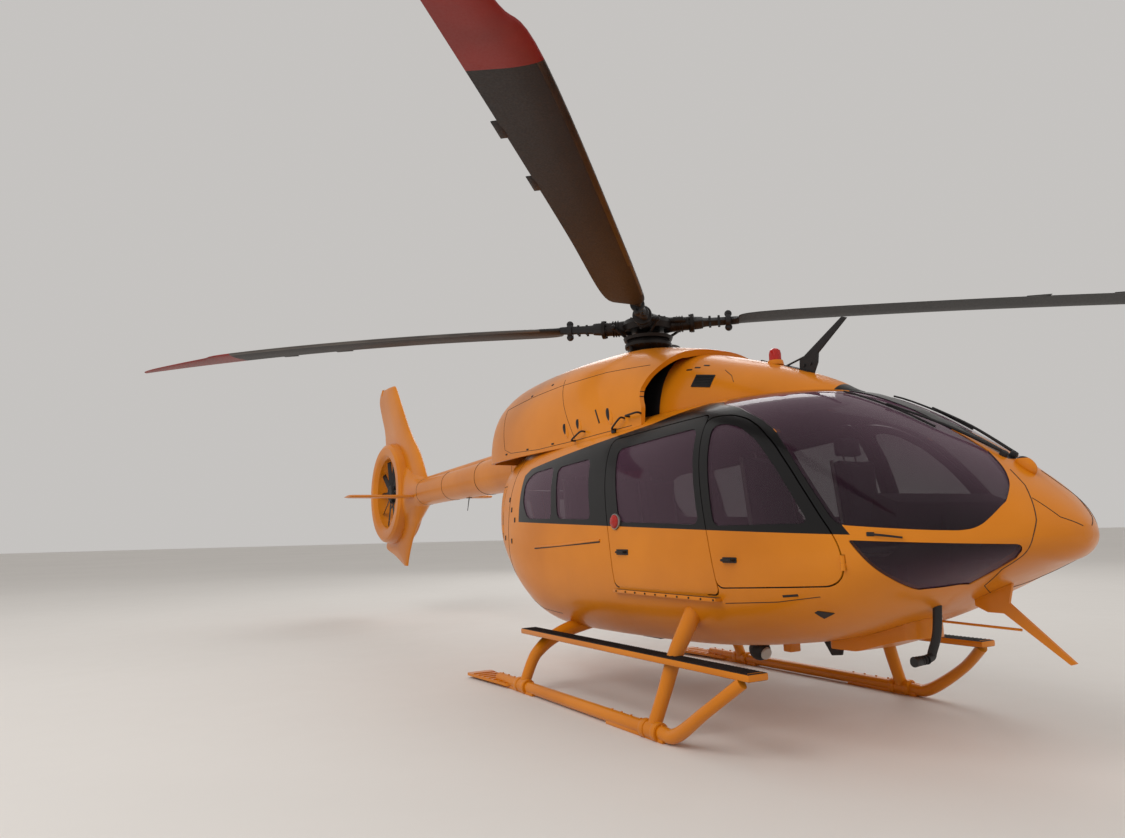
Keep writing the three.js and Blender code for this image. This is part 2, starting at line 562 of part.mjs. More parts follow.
const shaftCoverEnd = rod(coverJoint, [-6330, 0, 2200], SHAFT_COVER.endRadius, 100, 12)
  .intersect(box(-7000, BOOM_END - FIT, -FAR, FAR, 0, 4000));
const finAndShroud = joined(lathe(SHROUD, 32), roundLoft(STUB, 0), finLoft(UPPER_FIN), finLoft(LOWER_FIN));
const tailFin = add("tail_fin", joined(finAndShroud, finLamp, shaftCoverEnd)
  .subtract(duct).subtract(mouth(-1)).subtract(mouth(1)), PAINT);

// The fan: a fixed gearbox on struts in the duct, and the turning hub with its blades.
const fanPoint = (angle, radius, y) =>
  [FAN.x + radius * Math.cos(angle), y, FAN.z + radius * Math.sin(angle)];
const HUB = { radius: 150, split: -40, back: 150, front: -130, strut: 15 };
const STRUTS = 8;
const spokes = Array.from({ length: STRUTS }, (_, i) => {
  const angle = (2 * Math.PI * (i + 0.5)) / STRUTS;
  return rod(fanPoint(angle, 90, 70), fanPoint(angle, FAN.radius + 20, 70), HUB.strut, undefined, 6);
});
const ductInside = rod([FAN.x, -400, FAN.z], [FAN.x, 400, FAN.z], FAN.radius - FIT, undefined, 32);
add("fan_gearbox", joined(
  rod([FAN.x, HUB.split, FAN.z], [FAN.x, HUB.back, FAN.z], HUB.radius, HUB.radius - 20, 18), ...spokes,
).intersect(ductInside), PAINT);
const PADDLE = { from: 120, to: FAN.radius - 12, chord: 84, thick: 13, pitchDeg: 34, y: -86 };
const paddles = Array.from({ length: FAN_BLADES }, (_, i) => {
  const paddle = new THREE.BoxGeometry(PADDLE.to - PADDLE.from, PADDLE.thick, PADDLE.chord)
    .rotateX(THREE.MathUtils.degToRad(PADDLE.pitchDeg))
    .translate((PADDLE.to + PADDLE.from) / 2, PADDLE.y, 0)
    .rotateY((2 * Math.PI * i) / FAN_BLADES);
  return onFanAxis(paddle);
});
add("fan_rotor", joined(
  rod([FAN.x, HUB.front, FAN.z], [FAN.x, HUB.split - FIT, FAN.z], HUB.radius - 20, HUB.radius, 18),
  ...paddles,
), BLADE);

// Tailplane: one half on each side of the stub.
const PLANE = { z: 1880, span: 1150, root: [-5905, -6350], tip: [-5950, -6335], thick: 28, into: 120 };
for (const [hand, side] of SIDES) {
  const rings = [[PLANE.into, PLANE.root], [PLANE.span, PLANE.tip]].map(([y, [lead, trail]]) =>
    WING.map(([back, up]) =>
      new THREE.Vector3(lead + back * (trail - lead), side * y, PLANE.z + up * PLANE.thick)));
  add(`tailplane_${hand}`, loft(rings).subtract(roundLoft(STUB, -FIT)).subtract(tailFin), PAINT);
}

// Skid landing gear. Each skid is a tube with wear shoes, a raised toe and a flat paw behind.
const SKID = { rear: -740, bend: 1705, axisZ: 52, shoe: 34 };
const TOE = [[2020, 1172, 250], [2242, 1088, 432]]; // x, |y|, z of the toe's bend and of its end under the step
const SHOES = [[-720, -80], [1000, 1640]]; // from and to x
const PAW = { front: -480, rear: -1200, frontHalf: 60, rearHalf: 125, z: [22, 44] };
// Leg centrelines from the skid to inside the belly. Columns: x, |y|, z, radius.
const LEGS = {
  front: [
    [1500, SKID_Y, 52, 44],
    [1510, 1078, 279, 46],
    [1520, 996, 486, 50],
    [1528, 907, 636, 56],
    [1535, 825, 770, 60],
    [1535, 760, 850, 62],
    [1535, 480, 900, 62],
  ],
  rear: [
    [-285, SKID_Y, 52, 44],
    [-285, 1096, 235, 46],
    [-285, 1030, 320, 50],
    [-285, 900, 410, 56],
    [-285, 700, 480, 60],
    [-285, 400, 540, 60],
  ],
};
const SADDLE = { half: 90, wall: 16 };
const STEP = { rear: -450, front: 2325, z: 492, thick: 46, half: 75, bracket: 45, bracketTo: 840 };
const legTube = (points, side, grow) =>
  tube(points.map(([x, y, z, radius]) => [x, side * y, z, radius]), grow);
for (const [hand, side] of SIDES) {
  const y = side * SKID_Y;
  const along = (from, to, radius) => rod([from, y, SKID.axisZ], [to, y, SKID.axisZ], radius);
  const [toeBend, toeEnd] = TOE.map(([x, toeY, z]) => [x, side * toeY, z]);
  const toe = joined(rod([SKID.bend, y, SKID.axisZ], toeBend, SKID_RADIUS, SKID_RADIUS - 8),
    ball(toeBend, SKID_RADIUS - 8), rod(toeBend, toeEnd, SKID_RADIUS - 8));
  const shoes = (grow) => joined(...SHOES.map(([from, to]) =>
    box(from - grow, to + grow, y - SKID.shoe - grow, y + SKID.shoe + grow, -grow, SKID.axisZ)));
  const pawOutline = [[PAW.front, y - PAW.frontHalf], [PAW.front, y + PAW.frontHalf],
    [PAW.rear, y + PAW.rearHalf], [PAW.rear, y - PAW.rearHalf]];
  const paw = (grow) => prism(grown(pawOutline, grow), "z", PAW.z[0] - grow, PAW.z[1] + grow, 30);
  const board = (grow) => box(STEP.rear - grow, STEP.front + grow, side * STEP_Y - STEP.half - grow,
    side * STEP_Y + STEP.half + grow, STEP.z - STEP.thick - grow, STEP.z + grow);
  const bend = ball([SKID.bend, y, SKID.axisZ], SKID_RADIUS);
  const skid = joined(along(SKID.rear, SKID.bend, SKID_RADIUS), bend, toe, shoes(0), paw(0));
  const skidClear = joined(along(SKID.rear, SKID.bend, SKID_RADIUS + FIT), shoes(FIT), paw(FIT));
  for (const [place, points] of Object.entries(LEGS)) {
    const foot = points[0][0];
    const saddle = along(foot - SADDLE.half, foot + SADDLE.half, SKID_RADIUS + SADDLE.wall);
    const leg = legTube(points, side, 0).add(saddle);
    add(`leg_${place}_${hand}`, leg.subtract(podClear).subtract(skidClear)
      .subtract(box(-3000, 3000, -1500, 1500, -100, 8)), PAINT);
  }
  // The boarding step is a long board outside the legs, with a bracket to each.
  const brackets = Object.values(LEGS).map((points) => {
    const x = points[2][0];
    const [from, to] = side < 0 ? [-STEP_Y, -STEP.bracketTo] : [STEP.bracketTo, STEP_Y];
    return box(x - STEP.bracket, x + STEP.bracket, from, to, STEP.z - STEP.thick - 20, STEP.z - 6);
  });
  const legsClear = joined(legTube(LEGS.front, side, FIT), legTube(LEGS.rear, side, FIT));
  add(`step_${hand}`, joined(board(0), ...brackets).subtract(legsClear), BLACK);
  add(`skid_${hand}`, skid.subtract(board(FIT)), PAINT);
}

// Cable cutters: flat blades above the roof and below the nose, each with a brace rod.
const UPPER_CUTTER = [[1790, 2300], [1900, 2300], [1955, 2400], [1965, 2465], [2225, 2650], [2190, 2662],
  [1890, 2492], [1800, 2440]];
const LOWER_CUTTER = [[2950, 960], [3170, 960], [3143, 856], [3455, 582], [3427, 572], [3110, 800],
  [3020, 800], [2950, 830]];
const podAndCowl = joined(podClear, cowlLoft(FAIRING, -FIT), cowlLoft(COWL, -FIT));
const cutter = (outline, braceFrom, braceTo) =>
  joined(prism(outline, "y", -11, 11), rod(braceFrom, braceTo, 8, 8, 8)).subtract(podAndCowl);
add("upper_cable_cutter", cutter(UPPER_CUTTER, [1640, 0, 2425], [1930, 0, 2478]), BLACK);
add("lower_cable_cutter", cutter(LOWER_CUTTER, [2359, 0, 734], [3193, 0, 721]), PAINT);

// Under the belly: the lifting hook's pad, a landing light, and the bent step below the nose.
const HOOK = { x: 60, z: 380, half: 130 };
const hookPad = box(HOOK.x - HOOK.half, HOOK.x + HOOK.half, -HOOK.half, HOOK.half, HOOK.z, 520);
add("hook_pad", hookPad.subtract(podClear), TRIM);
const LAMP = { x: 1290, y: -60, z: 415, radius: 78 };
add("belly_light", joined(ball([LAMP.x, LAMP.y, LAMP.z], LAMP.radius),
  rod([LAMP.x, LAMP.y, LAMP.z], [LAMP.x, LAMP.y, 560], 26)).subtract(podClear), BLACK);
const NOSE_STEP = [[2870, -215, 900], [2850, -215, 700], [2812, -215, 590], [2808, -240, 556],
  [2830, -400, 548]];
add("nose_step", bar(NOSE_STEP, 24).subtract(podClear), BLACK);
const BELLY_FAIRING = {
  plan: [[2620, -150], [2700, -60], [2700, 60], [2620, 150], [2050, 190], [2050, -190]],
  side: [[2050, 520], [2260, 520], [2450, 580], [2620, 625], [2760, 640], [2760, 900], [2050, 900]],
};
add("belly_fairing", prism(BELLY_FAIRING.plan, "z", 500, 900, 40)
  .intersect(prism(BELLY_FAIRING.side, "y", -FAR, FAR)).subtract(podClear), PAINT);

// Interior that shows through the windows: seats on the floor and the instrument console.
const SEAT_SIDE = [[0, 0], [400, 0], [450, 260], [480, 360], [60, 340], [-90, 900], [-110, 1080],
  [-200, 1080], [-190, 900], [-40, 260]];
function seat(name, x, y0, y1) {
  const outline = SEAT_SIDE.map(([sx, sz]) => [x + sx, FLOOR.top + FIT + sz]);
  add(name, prism(outline, "y", y0, y1, 40).intersect(podInside), SEAT);
}
seat("pilot_seat_right", 1930, -640, -200);
seat("pilot_seat_left", 1930, 200, 640);
seat("cabin_seat_row", -420, -640, 640);
const PANEL = [[2480, 0], [2850, 0], [2930, 330], [2880, 560], [2720, 620], [2680, 560], [2620, 330],
  [2480, 240]];
add("instrument_console", joined(
  prism(PANEL.map(([x, z]) => [x, FLOOR.top + FIT + z]), "y", -140, 140, 20),
  prism([[2690, 1180], [2870, 1180], [2900, 1400], [2760, 1460]], "y", -520, 520, 20),
).intersect(podInside), TRIM);

add("fuselage", hull, PAINT);

export default root;
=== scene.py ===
"""Finishes and fine shapes of a rescue helicopter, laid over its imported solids.

Shapes are made in millimetres from the mast's axis, as the solids' own tables are, and each
finished piece is moved into the frame, which is in metres.
"""

import math

import bmesh
import bpy
from bpy.props import FloatProperty, FloatVectorProperty, IntProperty, PointerProperty
from mathutils import Matrix, Vector
from mathutils.bvhtree import BVHTree


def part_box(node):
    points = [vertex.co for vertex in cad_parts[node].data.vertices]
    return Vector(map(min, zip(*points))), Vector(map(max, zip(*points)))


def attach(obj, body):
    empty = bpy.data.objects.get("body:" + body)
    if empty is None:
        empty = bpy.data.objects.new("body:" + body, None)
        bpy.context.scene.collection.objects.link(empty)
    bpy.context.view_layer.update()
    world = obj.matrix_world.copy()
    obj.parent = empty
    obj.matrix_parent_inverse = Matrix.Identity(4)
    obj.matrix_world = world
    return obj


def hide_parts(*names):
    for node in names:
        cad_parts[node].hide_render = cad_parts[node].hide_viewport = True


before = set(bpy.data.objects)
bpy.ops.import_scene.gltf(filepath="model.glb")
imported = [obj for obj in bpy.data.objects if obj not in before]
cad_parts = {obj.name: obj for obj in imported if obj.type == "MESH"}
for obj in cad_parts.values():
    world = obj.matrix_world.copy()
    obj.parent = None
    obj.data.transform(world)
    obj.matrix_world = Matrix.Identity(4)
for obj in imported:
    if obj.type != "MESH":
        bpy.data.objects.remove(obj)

bl_info = {
    "name": "Rescue helicopter looks",
    "version": (1, 0, 0),
    "blender": (4, 5, 0),
    "location": "3D View > Sidebar > Helicopter",
    "description": "Builds the helicopter's fine skin, fittings, finishes and stage",
    "category": "Object",
}

HEAD_LOW, HEAD_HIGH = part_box("rotor_head")
MAST_X = (HEAD_LOW.x + HEAD_HIGH.x) / 2
MM = 0.001
TO_FRAME = Matrix.Translation((MAST_X, 0, 0)) @ Matrix.Scale(MM, 4)
SIDES = (("right", -1), ("left", 1))
PAINT, RUBBER, STEEL = "Polyurethane paint", "Black rubber", "Dark rotor steel"
BODY_FINISHES = (PAINT, "Grey cabin lining")
# The space between pieces that touch, and where cuts from the side start and end.
FIT = 0.4
NEAR, FAR = 300, 1200
# The ends of blocks that are longer and higher than the cabin and its cowling.
LONG, HIGH = 3000, 4000
# Where rays that look for the skin start, out of every surface.
SIGHT_SIDE, SIGHT_TOP, SIGHT_LOW = 1600, 3600, -100
# How near points are merged, and the least half width of a shrunk section.
MERGE, LEAST = 0.01, 5

# The photograph's camera, from its solved place and turn in the frame.
CAMERA_AT = Vector((7.8424649, -4.16930321, 1.28212439))
CAMERA_YAW = math.radians(150.36822223)
CAMERA_PITCH = math.radians(8.158083059)
CAMERA_ROLL = math.radians(-1.3448556865)
CAMERA_LENS = 25.302
SENSOR = 36.0
# Lights, in metres of the frame: name, place, size, power. All look at one point.
LIGHTS = (("key", (MAST_X + 3, -14, 13), 12, 1500), ("fill", (MAST_X + 14, 6, 9), 10, 400),
          ("rim", (MAST_X - 12, 10, 12), 10, 700))
LIT_POINT = (MAST_X, 0, 1.2)
SKY_STRENGTH = 0.62

# The cabin pod. Columns: x, bottom z, widest point's z, top z, half width, roundness below, above.
POD = [
    (3578, 1182, 1222, 1262, 36, 2, 2),
    (3555, 1140, 1220, 1302, 130, 2, 2),
    (3490, 1092, 1215, 1385, 265, 2, 2),
    (3395, 1058, 1210, 1480, 410, 2, 2),
    (3200, 975, 1195, 1648, 590, 2.1, 2),
    (2950, 862, 1180, 1812, 732, 2.3, 2.1),
    (2650, 728, 1170, 1990, 830, 2.6, 2.3),
    (2300, 612, 1160, 2138, 890, 3, 2.6),
    (1900, 535, 1150, 2195, 918, 3.2, 3),
    (1400, 475, 1150, 2215, 926, 3.3, 3.3),
    (800, 445, 1150, 2220, 926, 3.3, 3.3),
    (0, 430, 1150, 2220, 926, 3.3, 3.3),
    (-600, 440, 1165, 2210, 914, 3.3, 3.1),
    (-1000, 530, 1200, 2200, 880, 2.9, 2.9),
    (-1300, 680, 1270, 2185, 828, 2.6, 2.7),
    (-1600, 885, 1370, 2165, 742, 2.4, 2.5),
    (-1850, 1120, 1500, 2140, 616, 2.2, 2.3),
    (-2020, 1370, 1650, 2110, 465, 2.1, 2.2),
    (-2100, 1530, 1760, 2080, 325, 2.1, 2.1),
    (-2140, 1620, 1840, 2050, 200, 2, 2),
]
NOSE_FROM, NOSE_OVER = 3100, 525
TAIL_FROM, TAIL_OVER = -1800, 340
WALL = 34
PANE_FROM, PANE_TO = 6, 16

# Outlines of doors and windows: [x, z] from the side, [x, |y|] from above, [|y|, z] from behind.
FRONT_DOOR = [(1868, 925), (2665, 965), (2745, 1040), (2745, 1140), (2706, 1235), (2640, 1330),
              (2555, 1450), (2430, 1610), (2290, 1765), (2130, 1895), (2000, 1965), (1830, 2012),
              (1652, 2010)]
FRONT_WINDOW = [(1865, 1300), (2575, 1300), (2454, 1475), (2324, 1640), (2159, 1805), (1990, 1912),
                (1840, 1955), (1740, 1950)]
SLIDING_DOOR = [(730, 880), (1870, 880), (1640, 2040), (560, 1985)]
SLIDING_WINDOW = [(815, 1345), (1725, 1310), (1600, 1955), (700, 1900)]
SIDE_WINDOW = [(-120, 1395), (415, 1375), (325, 1865), (-205, 1835)]
QUARTER_WINDOW = [(-700, 1410), (-225, 1395), (-290, 1850), (-700, 1825), (-850, 1750), (-830, 1550)]
WINDSCREEN_SIDE = [(2747, 1287), (2922, 1270), (3133, 1252), (3270, 1245), (3325, 1262), (3362, 1320),
                   (3385, 1390), (3392, 1450), (3600, 1600), (3600, 2400), (1600, 2400), (1590, 2135),
                   (1857, 2062), (2111, 1949), (2256, 1860), (2399, 1709), (2527, 1555), (2639, 1411),
                   (2700, 1325)]
WINDSCREEN_PLAN = [(1590, 470), (1700, 360), (2060, 250), (2300, 110), (2420, 72), (2700, 60),
                   (2936, 64), (3150, 90), (3290, 165), (3350, 229), (3378, 303), (3388, 380),
                   (3378, 450), (3600, 700), (3600, 1100), (1500, 1100)]
CHIN_WINDOW = [(2785, 1207), (2870, 1088), (2930, 1005), (2965, 942), (3050, 955), (3115, 970),
               (3185, 958), (3265, 1005), (3355, 1075), (3432, 1145), (3440, 1175)]
CLAMSHELL = [(-1480, 1745), (-1480, 300), (-2300, 300), (-2300, 1745)]
CLAMSHELL_WINDOW = [(150, 1330), (430, 1330), (430, 1650), (150, 1650)]
DOOR_GAP, DOOR_CORNER, WINDOW_CORNER, SCREEN_CORNER = 8, 50, 60, 30
FRONT_HINGE = (2749, 797, 1088)
REAR_HINGE = (-1476, 774, 1330)
KNUCKLE_RADIUS, KNUCKLE_TALL, KNUCKLE_GAP = 14, 40, 3
# The rear door's skin stops short along its hinge edge, so that it clears the hull wide open.
REAR_REBATE_X, REAR_REBATE_Y, REAR_REBATE_Z = (-1502, -1466), 770, (300, 1760)
# Seams as [x, z] seen from the side; those round the nose as [x, |y|, z].
NOSE_SEAMS = [
    [(3300, 138, 1548), (3387, 168, 1464), (3429, 209, 1400), (3478, 261, 1288), (3473, 292, 1217),
     (3413, 296, 1121), (3300, 290, 1045), (3150, 200, 930), (3050, 0, 880)],
    [(3434, 205, 1395), (3526, 142, 1300), (3575, 40, 1256)],
]
HULL_SEAMS = [[(-1180, 760), (-700, 620), (-300, 600)], [(1900, 830), (2300, 860), (2560, 900)],
              [(-1180, 760), (-1230, 1300), (-1180, 2050)]]
COWLING_SEAMS = [
    [(-1690, 2560), (-1540, 2124), (-1384, 2076), (-778, 2052), (-100, 2062), (700, 2090)],
    [(-531, 2680), (-330, 2380), (-113, 2075)],
    [(1338, 2440), (1428, 2380), (1473, 2322)],
    [(-1690, 2560), (-1100, 2600), (-531, 2620), (200, 2610), (760, 2570)],
]

# The black band round the side windows, as lines of x and z, and the front post's, of x and |y|.
BAND_SILL = ((-721, 1378), (2742, 1237))
BAND_REAR = -925
BAND_PEAK_LINES = [((-812, 1872), (976, 2065)), ((976, 2065), (1432, 2161))]
BAND_TOP_LINES = [((-948, 1807), (-812, 1872)), ((1432, 2161), (1590, 2144)), ((1590, 2144), (1857, 2082)),
                  ((1857, 2082), (2111, 1973)), ((2111, 1973), (2399, 1741)), ((2399, 1741), (2747, 1302))]
POST_SIDE = ((2200, 120), (3000, 62))
POST_FOOT_Z = 1614
POST_REAR = 2180

# The cowling and its front fairing. Columns: x, top z, half width, roundness.
COWL = [(960, 2690, 650, 2.5), (880, 2720, 686, 2.6), (400, 2830, 716, 2.6), (0, 2872, 730, 2.6),
        (-600, 2892, 742, 2.6), (-1100, 2888, 740, 2.6), (-1600, 2858, 720, 2.6),
        (-1900, 2798, 688, 2.6), (-2030, 2738, 652, 2.5), (-2095, 2655, 605, 2.4)]
FAIRING = [(2320, 2135, 75, 2), (2250, 2168, 130, 2), (2060, 2268, 245, 2.1), (1700, 2418, 350, 2.3),
           (1300, 2552, 430, 2.4), (900, 2672, 478, 2.5), (405, 2762, 502, 2.5)]
MOUTH = [(1200, 2630, 585, 2.5), (961, 2689, 649, 2.5)]
COWL_BASE, COWL_WALL, COWL_ROUND = 2020, 30, 2.6
INTAKE_DEPTH, INTAKE_WALL, INTAKE_FRONT = 440, 36, 790
# Faces nearer the cowl's axis than this share of its form are inside the intake and get its painted shade.
INTAKE_SHADE_SHARE = 0.93
INTAKE_LIP = [(820, 1900), (813, 2224), (778, 2300), (770, 2365), (812, 2460), (885, 2558),
              (945, 2700), (1100, 2760), (1100, 1900)]
EXHAUST_X, EXHAUST_Y, EXHAUST_Z, EXHAUST_RADIUS = -2000, 375, 2330, 110
# An exhaust pipe's wall: how far in from its radius, and how far along X from its start.
EXHAUST_WALL = [(0, 0), (0, -292), (3, -300), (9, -300), (12, -292), (12, 0), (0, 0)]

# The boom, x, middle z, half width and half height, and the fins, z, lead x, trail x, half, aside.
BOOM_END, BOOM_ROUND = -5850, 2.2
BOOM = [(-1750, 2035, 265, 280), (-2200, 2017, 262, 260), (-2900, 2012, 240, 232),
        (-3900, 1987, 218, 210), (-4900, 1964, 205, 199), (BOOM_END, 1942, 198, 199)]
STUB = [(BOOM_END - FIT, 1942, 198, 199), (-6150, 1945, 190, 262), (-6450, 1965, 182, 400),
        (-6750, 1980, 176, 520), (-7000, 1990, 150, 560)]
UPPER_FIN = [(2150, -5851, -7700, 96, 0), (2574, -6190, -7860, 92, 0), (2870, -6550, -7950, 84, 0),
             (3130, -6815, -8020, 75, 0), (3400, -7050, -8105, 66, 30), (3660, -7270, -8190, 56, 50),
             (3820, -7410, -8140, 46, 50), (3868, -7480, -8050, 28, 45)]
LOWER_FIN = [(1760, -5880, -7100, 150, 0), (1580, -6120, -7300, 110, 0), (1420, -6320, -7620, 76, 0),
             (1230, -6510, -7775, 58, 0), (1080, -6610, -7860, 48, 0), (960, -6680, -7380, 38, 0),
             (808, -6755, -6910, 24, 0)]
WING = [(1, 0.08), (0.7, 0.62), (0.4, 1), (0.15, 0.86), (0.03, 0.42), (0, 0), (0.03, -0.42),
        (0.15, -0.8), (0.4, -0.9), (0.7, -0.52), (1, -0.08)]
FAN_X, FAN_Z, FAN_RADIUS = -7330, 2000, 576
FAN_BLADES, FAN_STRUTS = 10, 8
FAN_PITCH = math.radians(34)
FIN_LAMP = (-8035, -42, 3879)
TAILPLANE_Z = 1880
TAILPLANE = [(120, -5905, -6350, 28), (900, -5939, -6340, 28), (1110, -5948, -6335, 26),
             (1140, -5960, -6325, 18), (1150, -5985, -6300, 6)]
SHROUD_HALF = [(540, 160), (576, 180), (606, 208), (650, 224), (765, 224), (812, 190), (836, 112),
               (842, 35)]

# The rotor. Columns of a blade's section: radius, leading edge ahead, trailing edge behind, thickness.
HUB_Z = 3124
ARM_END = 420
ROTOR_RADIUS = 5500
BLADE_ANGLES = [47.8, 137.8, 227.8, 317.8]
BLADE_HANG = [(-0.005, 200), (0.02, 180), (0.05, 320), (0.02, 180)]
BLADE_SECTIONS = [(420.4, 62, 62, 124), (490, 62, 62, 112), (530, 46, 46, 84), (790, 44, 46, 76),
                  (985, 84, 226, 52), (2400, 95, 230, 42), (4240, 95, 230, 38), (4620, 22, 230, 32),
                  (5000, -48, 230, 25), (5320, -112, 230, 17), (5470, -165, 232, 11),
                  (ROTOR_RADIUS, -205, 234, 7)]
RED_FROM, STRIP_FROM, STRIP_AHEAD = 4260, 1000, 66
HEAD_PROFILE = [(0, 2985.4), (215, 2985.4), (225, 3012), (130, 3022), (95, 3040), (120, 3066),
                (215, 3078), (235, 3124), (215, 3170), (130, 3190), (105, 3215), (60, 3238), (0, 3242)]
PENDULUM_RADIUS = 723
# The ends of a link that turns with the head, in an arm's own frame.
LINK_LOW, LINK_HIGH = (185, 40, 3016), (300, 120, 3108)

# The skids. Columns: x, |y|, z, radius.
SKID_Y = 1175
LEGS = {
    "front": [(1500, 1175, 52, 44), (1510, 1078, 279, 46), (1520, 996, 486, 50), (1528, 907, 636, 56),
              (1535, 825, 770, 60), (1535, 760, 850, 62), (1535, 480, 900, 62)],
    "rear": [(-285, 1175, 52, 44), (-285, 1096, 235, 46), (-285, 1030, 320, 50), (-285, 900, 410, 56),
             (-285, 700, 480, 60), (-285, 400, 540, 60)],
}
SKID_LINE = [(-740, 1175, 52, 44), (-400, 1175, 52, 44), (1000, 1175, 52, 44), (1560, 1175, 52, 44),
             (1740, 1175, 68, 43), (2020, 1172, 250, 36), (2242, 1088, 432, 36)]
PAW = [(-480, 60), (-1200, 125)]
SHOES = [(-720, -80), (1000, 1640)]
STEP_Y, STEP_HALF, STEP_TOP, STEP_THICK = 1040, 75, 492, 46
STEP_REAR, STEP_FRONT = -450, 2325
STEP_STRIPS = 92

# The cabin: the line its inner faces look at, the floor under feet, and the middles of the seats.
CABIN_REAR, CABIN_FRONT, CABIN_Z = -1300, 2500, 1300
FOOT_Z = 842
PILOT_Y = 420
ROW_Y = (-425, 0, 425)
ROW_BARS_Y = (-600, -215, 215, 600)
# The four screens' middles across the panel, and how far they lean.
SCREENS_Y = (-380, -130, 130, 380)
SCREEN_LEAN = 0.25
BELLY_LAMP = (1290, -60, 415)
# Cushions: word, low and high x, half width, low and high z, lean.
PILOT_CUSHIONS = (("squab", 1950, 2390, 200, 1120, 1222, -0.06),
                  ("back", 1790, 1920, 195, 1215, 1760, -0.12),
                  ("headrest", 1745, 1835, 110, 1775, 1905, -0.1))
ROW_CUSHIONS = (("squab", -400, 30, 195, 1120, 1222, -0.05),
                ("back", -560, -430, 190, 1215, 1780, -0.12),
                ("headrest", -605, -520, 105, 1790, 1905, -0.1))
# The cushions' cloth: steps, pressure, and in metres its mesh and how far a point may move.
SIM_STEPS = 20
CLOTH_QUALITY = 4
PRESSURE = 4.0
CLOTH_MESH = 0.012
PUFF_CAP = 0.022
ACRYLIC_IOR = 1.49


def eased(table, t):
    """The table's row at t, which counts rows, on a smooth curve through all of them."""
    last = len(table) - 1
    i = min(max(int(t), 0), last - 1)
    rows = [table[max(i - 1, 0)], table[i], table[i + 1], table[min(i + 2, last)]]
    s = t - i
    return [
        b + 0.5 * s * (c - a + s * (2 * a - 5 * b + 4 * c - d + s * (3 * (b - c) + d - a)))
        for a, b, c, d in zip(*rows)
    ]


def share(distance, over):
    """How far along a stretch of that length the distance is, from 0 to 1."""
    return min(max(distance / over, 0), 1)


def rounded(u, bottom, widest, top, half, below, above, inset=0.0):
    """The y and z of a rounded box's outline, u of the way round, shrunk by inset."""
    c, s = math.cos(2 * math.pi * u), math.sin(2 * math.pi * u)
    tall = widest - bottom if s < 0 else top - widest
    power = 2 / (below if s < 0 else above)
    y = math.copysign(abs(c) ** power, c) * max(half - inset, LEAST)
    return y, widest + math.copysign(abs(s) ** power, s) * max(tall - inset, LEAST)


def wing_point(u, steps):
    """Share of chord and of thickness, u of the way round a wing section of that many steps."""
    if u >= 1:
        return WING[0]
    return eased(WING, min(u * steps / (steps - 1), 1) * (len(WING) - 1))


def skin(place, around, along):
    """A closed skin: a grid bent by place(u, v), u round it and v along it, from 0 to 1."""
    bm = bmesh.new()
    bmesh.ops.create_grid(bm, x_segments=around, y_segments=along, size=0.5)
    for vert in bm.verts:
        vert.co = place(min(vert.co.x + 0.5, 1), min(vert.co.y + 0.5, 1))
    return closed(bm)


def closed(bm):
    """Merges the shape's doubles, fills its open ends and turns its faces outwards."""
    bmesh.ops.remove_doubles(bm, verts=bm.verts, dist=MERGE)
    edges = [e for e in bm.edges if e.is_boundary]
    if edges:
        bmesh.ops.holes_fill(bm, edges=edges)
    bmesh.ops.recalc_face_normals(bm, faces=bm.faces)
    return bm


def grown(points, grow):
    """The outline moved outwards by grow, turned anticlockwise first."""
    area = sum(a[0] * b[1] - b[0] * a[1] for a, b in zip(points, points[1:] + points[:1]))
    turned = points if area > 0 else points[::-1]
    moved = []
    for i, point in enumerate(turned):
        before, after = turned[i - 1], turned[(i + 1) % len(turned)]
        n1 = Vector((point[1] - before[1], before[0] - point[0])).normalized()
        n2 = Vector((after[1] - point[1], point[0] - after[0])).normalized()
        mitre = (n1 + n2) * (grow / (1 + n1.dot(n2)))
        moved.append((point[0] + mitre.x, point[1] + mitre.y))
    return moved


def mirrored(rows, side):
    """The rows with their second column, y, on one side of the aircraft."""
    return [(x, side * y, *rest) for x, y, *rest in rows]


def reach(side, near, far):
    """The low and the high y of a stretch on one side."""
    return sorted((side * near, side * far))


def between(a, b, t):
    """The point t of the way from a to b."""
    return [p + (q - p) * t for p, q in zip(a, b)]


def ring(count, radius=1, start=0.0):
    """Points evenly round a circle; start shifts them by that share of a step."""
    for i in range(count):
        turn = 2 * math.pi * (i + start) / count
        yield radius * math.cos(turn), radius * math.sin(turn)


def round_off(bm, geom, offset, segments=2, affect="EDGES"):
    """Bevels edges or corners of the shape."""
    bmesh.ops.bevel(bm, geom=geom, offset=offset, affect=affect, segments=segments, profile=0.5,
                    material=-1, clamp_overlap=True)


def prism(outline, axis, low, high, corner=0.0):
    """An outline stood along an axis from low to high, its corners rounded."""
    stand = {
        "x": (lambda u, v: (low, u, v), (high - low, 0, 0)),
        "y": (lambda u, v: (u, low, v), (0, high - low, 0)),
        "z": (lambda u, v: (u, v, low), (0, 0, high - low)),
    }
    place, move = stand[axis]
    bm = bmesh.new()
    bm.faces.new([bm.verts.new(place(u, v)) for u, v in outline])
    if corner:
        round_off(bm, bm.verts[:], corner, 5, "VERTICES")
    made = bmesh.ops.extrude_face_region(bm, geom=bm.faces[:])["geom"]
    bmesh.ops.translate(bm, vec=move, verts=[g for g in made if isinstance(g, bmesh.types.BMVert)])
    return closed(bm)


def box(x0, x1, y0, y1, z0, z1, bevel=0.0):
    """A plain block, its edges rounded by bevel."""
    bm = bmesh.new()
    add_box(bm, Vector(((x0 + x1) / 2, (y0 + y1) / 2, (z0 + z1) / 2)), (x1 - x0, y1 - y0, z1 - z0),
            bevel=bevel)
    return bm


